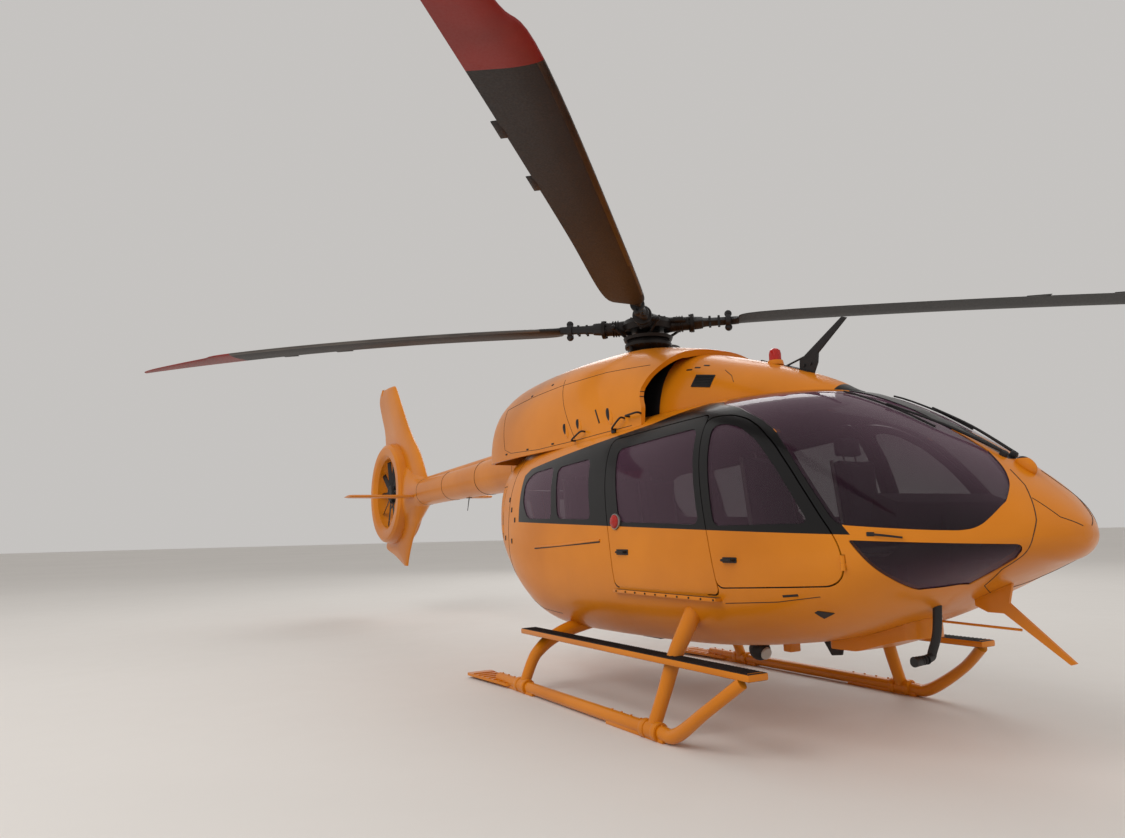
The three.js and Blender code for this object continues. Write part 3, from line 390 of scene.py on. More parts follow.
def slab(x0, x1, z0=0, z1=HIGH):
    """A block right across the hull."""
    return box(x0, x1, -FAR, FAR, z0, z1)


def add_box(bm, centre, size, turn=None, bevel=0.0):
    """Adds a block to the shape, turned and with its edges rounded."""
    matrix = Matrix.Translation(centre) @ (turn or Matrix.Identity(4)) @ Matrix.Diagonal((*size, 1))
    verts = bmesh.ops.create_cube(bm, size=1, matrix=matrix)["verts"]
    if bevel:
        round_off(bm, list({e for v in verts for e in v.link_edges}), bevel)


def add_rod(bm, a, b, radius, end=None, sides=24, bevel=0.0):
    """Adds a round rod between two points, whose radius may change along it."""
    a, b = Vector(a), Vector(b)
    turn = (b - a).to_track_quat("Z", "Y").to_matrix().to_4x4()
    made = bmesh.ops.create_cone(
        bm, cap_ends=True, segments=sides, radius1=radius, radius2=radius if end is None else end,
        depth=(b - a).length, matrix=Matrix.Translation((a + b) / 2) @ turn)
    if bevel:
        rims = {e for v in made["verts"] for e in v.link_edges
                if any(len(f.verts) > 4 for f in e.link_faces)}
        round_off(bm, list(rims), bevel)


def rod(a, b, radius, end=None, sides=48, bevel=0.0):
    """A round rod on its own."""
    bm = bmesh.new()
    add_rod(bm, a, b, radius, end, sides, bevel)
    return bm


def add_ball(bm, centre, radii, sides=20, turn=None):
    """Adds an egg of three radii to the shape."""
    matrix = Matrix.Translation(centre) @ (turn or Matrix.Identity(4)) @ Matrix.Diagonal((*radii, 1))
    bmesh.ops.create_uvsphere(bm, u_segments=sides, v_segments=sides // 2, radius=1, matrix=matrix)


def pipe(rows, level=(1, 0, 0), around=20, steps=6):
    """A round tube along a smooth curve. Columns: x, y, z, radius; level lies across the path."""
    last = len(rows) - 1
    level = Vector(level)

    def place(u, v):
        x, y, z, radius = eased(rows, v * last)
        ahead = Vector(eased(rows, min(v * last + 0.05, last))[:3])
        behind = Vector(eased(rows, max(v * last - 0.05, 0))[:3])
        along = (ahead - behind).normalized()
        aside = (level - along * level.dot(along)).normalized()
        up = along.cross(aside)
        turn = 2 * math.pi * u
        return Vector((x, y, z)) + (aside * math.cos(turn) + up * math.sin(turn)) * radius

    return skin(place, around, last * steps)


def absorb(bm, *others):
    """Adds other shapes to this one and frees them."""
    for other in others:
        mesh = bpy.data.meshes.new("part")
        other.to_mesh(mesh)
        other.free()
        bm.from_mesh(mesh)
        bpy.data.meshes.remove(mesh)
    return bm


def turned(profile, centre=(0, 0, 0), axis=(0, 0, 1), steps=72):
    """A profile of radius and height, open or closed, turned about an axis through the centre."""
    bm = bmesh.new()
    along = Vector(axis)
    across = Vector((0, 0, 1)) if along.z == 0 else Vector((1, 0, 0))
    verts = [bm.verts.new(Vector(centre) + across * r + along * h) for r, h in profile]
    for a, b in zip(verts, verts[1:]):
        bm.edges.new((a, b))
    bmesh.ops.spin(bm, geom=bm.verts[:] + bm.edges[:], cent=centre, axis=axis, angle=2 * math.pi,
                   steps=steps, use_merge=True)
    return closed(bm)


def loose(name, bm):
    """The shape as a plain object in the scene."""
    mesh = bpy.data.meshes.new(name)
    bm.to_mesh(mesh)
    bm.free()
    obj = bpy.data.objects.new(name, mesh)
    bpy.context.scene.collection.objects.link(obj)
    return obj


def combine(bm, *steps):
    """The shape after each step, a word of UNION, DIFFERENCE or INTERSECT and another shape."""
    carrier = loose("carrier", bm)
    tools = [loose("tool", other) for _, other in steps]
    for (word, _), tool in zip(steps, tools):
        modifier = carrier.modifiers.new("Boolean", "BOOLEAN")
        modifier.operation = word
        modifier.object = tool
        modifier.solver = "MANIFOLD"
    bpy.context.view_layer.update()
    mesh = bpy.data.meshes.new_from_object(
        carrier.evaluated_get(bpy.context.evaluated_depsgraph_get()))
    result = bmesh.new()
    result.from_mesh(mesh)
    for obj in [carrier, *tools]:
        old = obj.data
        bpy.data.objects.remove(obj)
        bpy.data.meshes.remove(old)
    bpy.data.meshes.remove(mesh)
    if not result.faces:
        raise ValueError("a Boolean step left nothing")
    return result


def shade_smooth(mesh):
    """Shades all faces of the mesh smooth."""
    for face in mesh.polygons:
        face.use_smooth = True


def piece(name, bm, finishes, body, replaces=None, crease=32):
    """The shape as a finished piece that rides on a body. finishes are materials' names."""
    bmesh.ops.transform(bm, matrix=TO_FRAME, verts=bm.verts)
    obj = loose(name, bm)
    shade_smooth(obj.data)
    obj.data.set_sharp_from_angle(angle=math.radians(crease))
    for word in [finishes] if isinstance(finishes, str) else finishes:
        obj.data.materials.append(bpy.data.materials[word])
    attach(obj, body)
    if replaces:
        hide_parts(replaces)
    return obj


def fitting(name, bm, finishes=RUBBER, replaces=None):
    """A piece fixed to the airframe, of black rubber unless it says otherwise."""
    piece(name, bm, finishes, "airframe", replaces)


def linear(color):
    """An sRGB hex colour as linear red, green, blue and alpha."""
    parts = [int(color[i : i + 2], 16) / 255 for i in (1, 3, 5)]
    return [p / 12.92 if p <= 0.04045 else ((p + 0.055) / 1.055) ** 2.4 for p in parts] + [1.0]


def node(tree, kind, links=(), **settings):
    """Adds a node with its settings; links are its inputs' values, or the sockets that feed them."""
    made = tree.nodes.new("ShaderNode" + kind)
    for key, value in settings.items():
        setattr(made, key, value)
    for key, value in dict(links).items():
        if isinstance(value, bpy.types.NodeSocket):
            tree.links.new(value, made.inputs[key])
        else:
            made.inputs[key].default_value = value
    return made


def math_node(tree, word, a, b=0.0):
    """The result of one sum on two sockets or numbers."""
    return node(tree, "Math", {0: a, 1: b}, operation=word).outputs[0]


def mixed(tree, factor, a, b):
    """A colour between a and b."""
    return node(tree, "Mix", {0: factor, 6: a, 7: b}, data_type="RGBA").outputs[2]


def finish(name, color, second, roughness, broad, fine, *, spread=0.08, relief=0.0004, metallic=0.0,
           coat=0.0, mask=None, masked="#070506", sheen=0.0, shine=0.5):
    """A material whose colour drifts between two tints over broad metres and whose gloss and
    height vary over fine metres. mask(tree, place) gives where it is the masked colour."""
    material = bpy.data.materials.new(name)
    material.use_nodes = True
    tree = material.node_tree
    shader = tree.nodes["Principled BSDF"]
    place = node(tree, "TexCoord").outputs["Object"]
    drift = node(tree, "TexNoise", {"Vector": place, "Scale": 1 / broad, "Detail": 5.0})
    grain = node(tree, "TexNoise", {"Vector": place, "Scale": 1 / fine, "Detail": 3.0})
    even = node(tree, "MapRange", {0: drift.outputs[0], 1: 0.35, 2: 0.7}).outputs[0]
    base = mixed(tree, even, linear(color), linear(second))
    if mask:
        base = mixed(tree, mask(tree, place), base, linear(masked))
    gloss = node(tree, "MapRange", {0: grain.outputs[0], 1: 0.3, 2: 0.7, 3: roughness - spread,
                                    4: roughness + spread}).outputs[0]
    bump = node(tree, "Bump", {"Height": grain.outputs[0], "Strength": 0.35, "Distance": relief})
    tree.links.new(base, shader.inputs["Base Color"])
    tree.links.new(gloss, shader.inputs["Roughness"])
    tree.links.new(bump.outputs[0], shader.inputs["Normal"])
    shader.inputs["Metallic"].default_value = metallic
    shader.inputs["Coat Weight"].default_value = coat
    shader.inputs["Coat Roughness"].default_value = 0.06
    shader.inputs["Sheen Weight"].default_value = sheen
    shader.inputs["Specular IOR Level"].default_value = shine
    return material


def line_height(tree, x, a, b):
    """The height, over x, of the straight line through two points in millimetres from the mast."""
    slope = (b[1] - a[1]) / (b[0] - a[0])
    start = (a[1] - slope * a[0]) * MM - slope * MAST_X
    return math_node(tree, "ADD", math_node(tree, "MULTIPLY", x, slope), start)


def window_band(tree, place):
    """1 on the black band that runs round the side windows and up the front pillar."""
    split = node(tree, "SeparateXYZ", {0: place})
    x, z = split.outputs[0], split.outputs[2]
    top = math_node(tree, "MAXIMUM", *(line_height(tree, x, *line) for line in BAND_PEAK_LINES))
    for line in BAND_TOP_LINES:
        top = math_node(tree, "MINIMUM", top, line_height(tree, x, *line))
    under_top = math_node(tree, "LESS_THAN", z, top)
    over_sill = math_node(tree, "GREATER_THAN", z, line_height(tree, x, *BAND_SILL))
    ahead = math_node(tree, "GREATER_THAN", x, BAND_REAR * MM + MAST_X)
    side = math_node(tree, "MULTIPLY", math_node(tree, "MULTIPLY", under_top, over_sill), ahead)
    y = math_node(tree, "ABSOLUTE", split.outputs[1])
    post = math_node(tree, "LESS_THAN", y, line_height(tree, x, *POST_SIDE))
    high = math_node(tree, "GREATER_THAN", z, POST_FOOT_Z * MM)
    back = math_node(tree, "GREATER_THAN", x, POST_REAR * MM + MAST_X)
    middle = math_node(tree, "MULTIPLY", math_node(tree, "MULTIPLY", post, high), back)
    return math_node(tree, "MAXIMUM", side, middle)


class HelicopterLooks(bpy.types.PropertyGroup):
    """Sizes and colours of the aircraft that a user would change."""

    body_color: FloatVectorProperty(
        name="Body colour", description="Rescue yellow of the hull, doors and tail",
        subtype="COLOR", size=3, min=0, max=1, default=(0.67, 0.212, 0.006))
    seam_width: FloatProperty(
        name="Seam width", description="Width of a panel's seam", unit="LENGTH",
        min=0.001, max=0.01, default=0.005)
    skin_points: IntProperty(
        name="Skin points", description="Points round the cabin's skin", min=32, max=160, default=112)
    floor_radius: FloatProperty(
        name="Floor radius", description="Radius of the studio's flat floor", unit="LENGTH",
        min=20, max=400, default=150)


def looks():
    """The scene's settings."""
    return bpy.context.scene.helicopter_looks


def hex_of(color):
    """A linear colour as sRGB hex."""
    curve = [c * 12.92 if c <= 0.0031308 else 1.055 * c ** (1 / 2.4) - 0.055 for c in color]
    return "#" + "".join(f"{round(min(max(c, 0), 1) * 255):02x}" for c in curve)


def pod(inset):
    """The cabin pod, shrunk by inset."""
    rows = len(POD) - 1

    def place(u, v):
        x, *row = eased(POD, v * rows)
        pull = share(x - NOSE_FROM, NOSE_OVER) - share(TAIL_FROM - x, TAIL_OVER)
        return (x - inset * pull, *rounded(u, *row, inset))

    return skin(place, looks().skin_points, rows * 6)


def shell():
    """The pod's wall, hollow inside."""
    return combine(pod(0), ("DIFFERENCE", pod(WALL)))


def pane(cutter):
    """A sheet of glass that follows the pod's skin inside the cutter."""
    return combine(pod(PANE_FROM), ("DIFFERENCE", pod(PANE_TO)), ("INTERSECT", cutter))


def off_hull(bm, *steps):
    """The shape after its steps, cut back to clear the pod's skin."""
    return combine(bm, *steps, ("DIFFERENCE", pod(-FIT)))


def side_cut(outline, side, near, grow=0.0, corner=0.0):
    """An outline seen from the side, stood out from near to far on one side."""
    low, high = (-FAR, -near) if side < 0 else (near, FAR)
    return prism(grown(outline, grow), "y", low, high, corner)


def window_cut(outline, side, grow=0.0, near=NEAR):
    """What a window covers, seen from the side."""
    return side_cut(outline, side, near, grow, WINDOW_CORNER)


def windscreen_cut(side, grow):
    """What one windscreen covers: its side outline where its plan also reaches."""
    plan = prism(grown(mirrored(WINDSCREEN_PLAN, side), grow), "z", 1200, 2500, SCREEN_CORNER)
    return combine(side_cut(WINDSCREEN_SIDE, side, 0, grow, SCREEN_CORNER), ("INTERSECT", plan))


def lookout_cut(side, grow):
    """What the small window in a rear door covers."""
    return prism(grown([(side * y, z) for y, z in CLAMSHELL_WINDOW], grow), "x", -2400, -1700, 50)


def knuckle(at, side, up, grow=0.0):
    """Half of a door's hinge, above or below the joint between its halves."""
    x, y, z = at
    start = z + (up * (-FIT if grow else FIT)) / 2
    return rod((x, side * y, start), (x, side * y, z + up * (KNUCKLE_TALL + grow)),
               KNUCKLE_RADIUS + grow, sides=24)


def hinged(at, side, up):
    """The steps that give a door, or the hull under it, its own half of the hinge."""
    return ("DIFFERENCE", knuckle(at, side, -up, KNUCKLE_GAP)), ("UNION", knuckle(at, side, up))


def line_inside(bm):
    """Gives the faces that look into the cabin the second material."""
    for face in bm.faces:
        middle = face.calc_center_median()
        centre = Vector((min(max(middle.x, CABIN_REAR), CABIN_FRONT), 0, CABIN_Z))
        if face.normal.dot((middle - centre).normalized()) < -0.2:
            face.material_index = 1
    return bm


class HELI_OT_hull(bpy.types.Operator):
    """Builds the cabin's hull with its door and window openings"""

    bl_idname = "helicopter.hull"
    bl_label = "Hull"

    def execute(self, context):
        steps = []
        for _, side in SIDES:
            cuts = [window_cut(o, side) for o in (SIDE_WINDOW, QUARTER_WINDOW, CHIN_WINDOW)]
            cuts.append(windscreen_cut(side, 0))
            cuts += [side_cut(o, side, NEAR, DOOR_GAP, DOOR_CORNER) for o in (FRONT_DOOR, SLIDING_DOOR)]
            cuts.append(side_cut(CLAMSHELL, side, -1, DOOR_GAP))
            steps += [("DIFFERENCE", cut) for cut in cuts]
            steps += [*hinged(FRONT_HINGE, side, -1), *hinged(REAR_HINGE, side, -1)]
            rail = box(780, 1760, *reach(side, NEAR, FAR), 870, 880 - FIT)
            steps.append(("UNION", combine(shell(), ("INTERSECT", rail))))
            ledge = box(736, 1874, *reach(side, 860, 944), 838, 862, 4)
            steps.append(("UNION", combine(ledge, ("DIFFERENCE", pod(WALL)))))
        hull = line_inside(combine(shell(), *steps))
        piece("hull_skin", hull, BODY_FINISHES, "airframe", "fuselage")
        return {"FINISHED"}


class HELI_OT_doors(bpy.types.Operator):
    """Builds the front, sliding and rear doors"""

    bl_idname = "helicopter.doors"
    bl_label = "Doors"

    def execute(self, context):
        for hand, side in SIDES:
            self.leaf("front", hand, f"front_door_{hand}",
                      side_cut(FRONT_DOOR, side, NEAR, 0, DOOR_CORNER), window_cut(FRONT_WINDOW, side),
                      *hinged(FRONT_HINGE, side, 1))
            self.leaf("sliding", hand, "airframe",
                      side_cut(SLIDING_DOOR, side, NEAR, 0, DOOR_CORNER), window_cut(SLIDING_WINDOW, side))
            rebate = box(*REAR_REBATE_X, *reach(side, REAR_REBATE_Y, FAR), *REAR_REBATE_Z)
            self.leaf("rear", hand, f"rear_door_{hand}",
                      side_cut(CLAMSHELL, side, DOOR_GAP / 2), lookout_cut(side, 0),
                      ("DIFFERENCE", rebate), *hinged(REAR_HINGE, side, 1))
        return {"FINISHED"}

    def leaf(self, kind, hand, body, area, window, *steps):
        """One door: the wall inside its area, without its window, after its own steps."""
        door = combine(shell(), ("INTERSECT", area), ("DIFFERENCE", window), *steps)
        piece(f"{kind}_door_skin_{hand}", line_inside(door), BODY_FINISHES, body,
              f"{kind}_door_{hand}")


class HELI_OT_glass(bpy.types.Operator):
    """Glazes the windscreens, doors and cabin windows"""

    bl_idname = "helicopter.glass"
    bl_label = "Glass"

    def execute(self, context):
        for hand, side in SIDES:
            panes = {
                "windscreen": windscreen_cut(side, -FIT),
                "side_window": window_cut(SIDE_WINDOW, side, -FIT),
                "quarter_window": window_cut(QUARTER_WINDOW, side, -FIT),
                "chin_window": window_cut(CHIN_WINDOW, side, -FIT, NEAR + FIT),
                "front_door_glass": window_cut(FRONT_WINDOW, side, -FIT),
                "sliding_door_glass": window_cut(SLIDING_WINDOW, side, -FIT),
                "rear_door_glass": lookout_cut(side, -FIT),
            }
            bodies = {"front_door_glass": f"front_door_{hand}", "rear_door_glass": f"rear_door_{hand}"}
            for name, cutter in panes.items():
                piece(f"{name}_{hand}_pane", pane(cutter), "Tinted acrylic", bodies.get(name, "airframe"),
                      f"{name}_{hand}")
        return {"FINISHED"}


def hood(table, inset):
    """The cowl or its fairing, shrunk by inset, with its ends rounded in."""
    rows = len(table) - 1

    def place(u, v):
        x, top, half, round_above = eased(table, v * rows)
        end = inset * (2 * v - 1)
        return (x + end, *rounded(u, COWL_BASE - 60, COWL_BASE, top, half, 2, round_above, inset))

    return skin(place, 96, rows * 8)


def over_base():
    """The space above the cowling's foot."""
    return slab(-LONG, LONG, COWL_BASE)


def cowl_outside():
    """The cowling's outer form without its openings."""
    return off_hull(hood(COWL, 0), ("UNION", hood(FAIRING, 0)), ("INTERSECT", over_base()))


class HELI_OT_cowling(bpy.types.Operator):
    """Builds the engine cowling, its intakes and the exhausts"""

    bl_idname = "helicopter.cowling"
    bl_label = "Engine cowling"

    def execute(self, context):
        intake = combine(hood(MOUTH + COWL[1:], INTAKE_WALL), ("INTERSECT", slab(INTAKE_DEPTH, 1100)))
        bay = combine(hood(COWL, COWL_WALL), ("INTERSECT", slab(-2080, INTAKE_DEPTH - COWL_WALL)))
        nose_bay = combine(hood(FAIRING, COWL_WALL), ("INTERSECT", slab(INTAKE_DEPTH, 2250)))
        steps = [("DIFFERENCE", intake), ("DIFFERENCE", prism(INTAKE_LIP, "y", -FAR, FAR, 20)),
                 ("UNION", hood(FAIRING, 0)), ("DIFFERENCE", bay), ("DIFFERENCE", nose_bay),
                 ("INTERSECT", over_base()), ("DIFFERENCE", pod(-FIT)),
                 ("DIFFERENCE", rod((0, 0, 2600), (0, 0, 3000), 175, sides=72))]
        for hand, side in SIDES:
            y, z = side * EXHAUST_Y, EXHAUST_Z
            bore = rod((EXHAUST_X + FIT, y, z), (EXHAUST_X - 400, y, z), EXHAUST_RADIUS + FIT)
            steps.append(("DIFFERENCE", bore))
            tube = turned([(EXHAUST_RADIUS - inwards, along) for inwards, along in EXHAUST_WALL],
                          (EXHAUST_X, y, z), (1, 0, 0), 64)
            fitting(f"exhaust_pipe_{hand}", off_hull(tube), "Heat-stained steel",
                    f"exhaust_{hand}")
        cowl = combine(hood(COWL, 0), *steps)
        self.shade_intakes(cowl)
        # The second finish, black rubber, is the painted shade inside the intakes.
        fitting("cowling_skin", cowl, (PAINT, RUBBER), "engine_cowling")
        return {"FINISHED"}

    def shade_intakes(self, cowl):
        """Paints everything inside the intakes, behind their lips, black: painted shade in the recess."""
        front, back = COWL[1:3]
        for face in cowl.faces:
            x, y, z = face.calc_center_median()
            if not (INTAKE_DEPTH - 45 < x < INTAKE_FRONT and z > COWL_BASE + 3):
                continue
            part = (x - back[0]) / (front[0] - back[0])
            top, half = between(back[1:3], front[1:3], part)
            across, up = abs(y) / half, (z - COWL_BASE) / (top - COWL_BASE)
            if across ** COWL_ROUND + up ** COWL_ROUND < INTAKE_SHADE_SHARE:
                face.material_index = 1


def boom_form(table, inset, steps=8):
    """The boom or the fin's stub, shrunk by inset."""
    rows = len(table) - 1

    def place(u, v):
        x, middle, half, tall = eased(table, v * rows)
        return (x, *rounded(u, middle - tall, middle, middle + tall, half, BOOM_ROUND, BOOM_ROUND, inset))

    return skin(place, 64, rows * steps)


def fin_form(table, around=48, steps=6):
    """A fin: wing sections stacked along z."""
    rows = len(table) - 1

    def place(u, v):
        z, lead, trail, half, aside = eased(table, v * rows)
        back, out = wing_point(u, around)
        return (lead + back * (trail - lead), out * half - back * aside, z)

    return skin(place, around, rows * steps)


def on_fan(angle, radius, y):
    """A point of the fan's disc."""
    return (FAN_X + radius * math.cos(angle), y, FAN_Z + radius * math.sin(angle))


class HELI_OT_tail(bpy.types.Operator):
    """Builds the tail boom, fin, fan shroud and tailplane"""

    bl_idname = "helicopter.tail"
    bl_label = "Tail"

    def execute(self, context):
        cover_joint = (BOOM_END, 0, 2078)
        inside = boom_form([(-1700, 2035, 265, 280), *BOOM[1:-1], (-5900, 1942, 198, 199)], 24)
        cover = combine(rod((-1900, 0, 2245), cover_joint, 80, 92), ("INTERSECT", slab(BOOM_END, 0)))
        hood_above = combine(hood(COWL, -FIT), ("INTERSECT", over_base()))
        boom = combine(boom_form(BOOM, 0), ("UNION", cover), ("DIFFERENCE", inside),
                       ("DIFFERENCE", pod(-FIT)), ("DIFFERENCE", hood_above))
        fitting("boom_skin", boom, PAINT, "tail_boom")
        section = SHROUD_HALF + [(r, -y) for r, y in reversed(SHROUD_HALF)] + [SHROUD_HALF[0]]
        shroud = turned(section, (FAN_X, 0, FAN_Z), (0, 1, 0), 128)
        duct = rod((FAN_X, -400, FAN_Z), (FAN_X, 400, FAN_Z), FAN_RADIUS, sides=128)
        mouths = [rod((FAN_X, s * 160, FAN_Z), (FAN_X, s * 245, FAN_Z), FAN_RADIUS, 650, 128)
                  for _, s in SIDES]
        cover_end = combine(rod(cover_joint, (-6330, 0, 2200), 92, 100),
                            ("INTERSECT", slab(-7000, BOOM_END - FIT)))
        x, y, z = FIN_LAMP
        lamp_post = rod((x, y, z - 99), (x, y, z + 1), 24, 20, 24)
        added = (boom_form(STUB, 0), fin_form(UPPER_FIN), fin_form(LOWER_FIN), cover_end, lamp_post)
        fin = combine(shroud, *(("UNION", part) for part in added),
                      *(("DIFFERENCE", part) for part in (duct, *mouths)))
        fitting("fin_skin", fin, PAINT, "tail_fin")
        for hand, side in SIDES:

            def place(u, v):
                y, lead, trail, thick = eased(TAILPLANE, v * (len(TAILPLANE) - 1))
                back, up = wing_point(u, 40)
                return (lead + back * (trail - lead), side * y, TAILPLANE_Z + up * thick)

            plane = combine(skin(place, 40, 24), ("DIFFERENCE", boom_form(STUB, -FIT)))
            fitting(f"tailplane_skin_{hand}", plane, PAINT, f"tailplane_{hand}")
        return {"FINISHED"}


class HELI_OT_fan(bpy.types.Operator):
    """Builds the tail fan, its gearbox and struts"""

    bl_idname = "helicopter.fan"
    bl_label = "Tail fan"

    def execute(self, context):
        centre = (FAN_X, 0, FAN_Z)
        gearbox = turned([(0, -40), (150, -40), (150, 60), (144, 110), (132, 140), (110, 150), (0, 150)],
                         centre, (0, 1, 0))
        for i in range(FAN_STRUTS):
            angle = 2 * math.pi * (i + 0.5) / FAN_STRUTS
            strut = [(90, 17), (300, 13), (FAN_RADIUS - 30, 14), (FAN_RADIUS - 2, 20)]
            absorb(gearbox, pipe([(*on_fan(angle, out, 70), thick) for out, thick in strut],
                                 (0, 1, 0), 16, 3))
            add_rod(gearbox, on_fan(angle, 112, 140), on_fan(angle, 112, 152), 9, sides=6)
        fitting("fan_gearbox_case", gearbox, "Cast aluminium", "fan_gearbox")
        hub = turned([(0, -40.4), (150, -40.4), (148, -60), (130, -118), (112, -130), (70, -130),
                      (62, -124), (0, -124)], centre, (0, 1, 0))
        for i in range(FAN_BLADES):
            angle = 2 * math.pi * i / FAN_BLADES

            def place(u, v):
                radius = 120 + v * (FAN_RADIUS - 12 - 120)
                chord = 84 - 6 * v
                back, up = wing_point(u, 24)
                along, lift = (back - 0.5) * chord, up * 6.5
                depth = -86 + lift * math.cos(FAN_PITCH) - along * math.sin(FAN_PITCH)
                around_disc = along * math.cos(FAN_PITCH) + lift * math.sin(FAN_PITCH)
                x, _, z = on_fan(angle, radius, 0)
                return (x - around_disc * math.sin(angle), depth, z + around_disc * math.cos(angle))

            absorb(hub, skin(place, 24, 8))
            add_rod(hub, on_fan(angle, 118, -86), on_fan(angle, 172, -86), 26, 20, 16)
            add_rod(hub, on_fan(angle, 92, -128), on_fan(angle, 92, -134), 8, sides=6)
        piece("fan_wheel", hub, "Black blade lacquer", "tail_fan", "fan_rotor")
        return {"FINISHED"}


def blade_height(index, radius):
    """The height of a blade's middle at that radius, with its droop."""
    rise, drop = BLADE_HANG[index]
    out = radius - ARM_END
    return HUB_Z + rise * out - drop * (out / ROTOR_RADIUS) ** 2


def turned_about_mast(bm, degrees):
    """The shape turned about the mast."""
    bmesh.ops.rotate(bm, cent=(0, 0, 0), verts=bm.verts,
                     matrix=Matrix.Rotation(math.radians(degrees), 3, "Z"))
    return bm


class HELI_OT_blades(bpy.types.Operator):
    """Builds the main rotor's blades"""

    bl_idname = "helicopter.blades"
    bl_label = "Rotor blades"

    def execute(self, context):
        rows = len(BLADE_SECTIONS) - 1
        for index, degrees in enumerate(BLADE_ANGLES):

            def place(u, v):
                radius, lead, trail, thick = eased(BLADE_SECTIONS, v * rows)
                back, up = wing_point(u, 40)
                return (radius, lead - back * (lead + trail), blade_height(index, radius) + up * thick / 2)

            blade = skin(place, 40, rows * 7)
            for cut in (RED_FROM, STRIP_FROM):
                geom = blade.verts[:] + blade.edges[:] + blade.faces[:]
                bmesh.ops.bisect_plane(blade, geom=geom, plane_co=(cut, 0, 0), plane_no=(1, 0, 0))
            for face in blade.faces:
                middle = face.calc_center_median()
                if middle.x > RED_FROM:
                    face.material_index = 1
                elif middle.x > STRIP_FROM and middle.y > STRIP_AHEAD:
                    face.material_index = 2
            for start, end in ((3060, 3240), (3680, 3840)):
                level = blade_height(index, (start + end) / 2)
                add_box(blade, Vector(((start + end) / 2, -242, level)), (end - start, 40, 5), bevel=1)
            self.add_pendulum(blade, blade_height(index, PENDULUM_RADIUS))
            for radius in (560, 640):
                for across in (-26, 26):
                    low = blade_height(index, radius) - 46
                    add_rod(blade, (radius, across, low), (radius, across, low + 92), 12, sides=6)
            piece(f"blade_skin_{index + 1}", turned_about_mast(blade, degrees),
                  ("Black blade lacquer", "Red tip lacquer", "Polished erosion strip"),
                  "main_rotor", f"rotor_blade_{index + 1}", crease=40)
        return {"FINISHED"}

    def add_pendulum(self, blade, level):
        """The vibration absorber at a blade's root: a drum across a rod with a ball at each end."""
        x = PENDULUM_RADIUS
        add_rod(blade, (x, 0, level - 62), (x, 0, level + 62), 18, sides=20)
        add_rod(blade, (x - 22, 0, level), (x + 22, 0, level), 60, sides=32, bevel=4)
        for up in (-62, 62):
            add_ball(blade, (x, 0, level + up), (33, 33, 33))


class HELI_OT_head(bpy.types.Operator):
    """Builds the rotor head with its links, and the mast's cover"""

    bl_idname = "helicopter.head"
    bl_label = "Rotor head"

    def execute(self, context):
        head = turned(HEAD_PROFILE)
        arm = self.arm()
        for degrees in BLADE_ANGLES:
            absorb(head, turned_about_mast(arm.copy(), degrees))
        arm.free()
        for x, y in ring(16, 180):
            add_rod(head, (x, y, 3160), (x, y, 3188), 10, sides=6)
        add_rod(head, (0, 0, 3225), (0, 0, 3242), 34, 26, 24, 4)
        piece("rotor_head_forging", head, STEEL, "main_rotor", "rotor_head")
        mast = turned([(150, 2600), (150, 2885), (162, 2900), (200, 2918), (212, 2925), (212, 2950),
                       (190, 2985), (120, 2985), (120, 2600), (150, 2600)])
        for x, y in ring(3, start=0.25):
            add_rod(mast, (160 * x, 160 * y, 2700), (192 * x, 192 * y, 2940), 15, sides=16)
            add_rod(mast, (158 * x, 158 * y, 2700), (172 * x, 172 * y, 2870), 24, sides=20, bevel=3)
        for x, y in ring(24, 203):
            add_rod(mast, (x, y, 2915), (x, y, 2958), 6, sides=6)
        fitting("mast_cover", mast, STEEL)
        return {"FINISHED"}

    def arm(self):
        """One arm of the head, along X, with its flange, bolts, collars and link."""
        arm = pipe([(150, 0, HUB_Z, 76), (240, 0, HUB_Z, 66), (330, 0, HUB_Z, 62), (388, 0, HUB_Z, 62)],
                   (0, 0, 1), 32, 4)
        add_rod(arm, (386, 0, HUB_Z), (ARM_END, 0, HUB_Z), 84, sides=48, bevel=5)
        for y, z in ring(8, 72, 0.5):
            add_rod(arm, (374, y, HUB_Z + z), (388, y, HUB_Z + z), 9, sides=6)
        for radius in (262, 286, 310):
            add_rod(arm, (radius, 0, HUB_Z), (radius + 10, 0, HUB_Z), 76, sides=40, bevel=4)
        add_rod(arm, LINK_LOW, LINK_HIGH, 13, sides=16)
        for end in (LINK_LOW, LINK_HIGH):
            add_ball(arm, end, (24, 24, 24), 16)
        add_rod(arm, (300, 0, HUB_Z), (300, 140, 3108), 22, 18, 16, 4)
        add_rod(arm, (180, -70, 3150), (350, -64, 3140), 22, sides=20, bevel=4)
        add_rod(arm, (235, -72, 3148), (330, -68, 3144), 28, sides=20, bevel=4)
        return arm


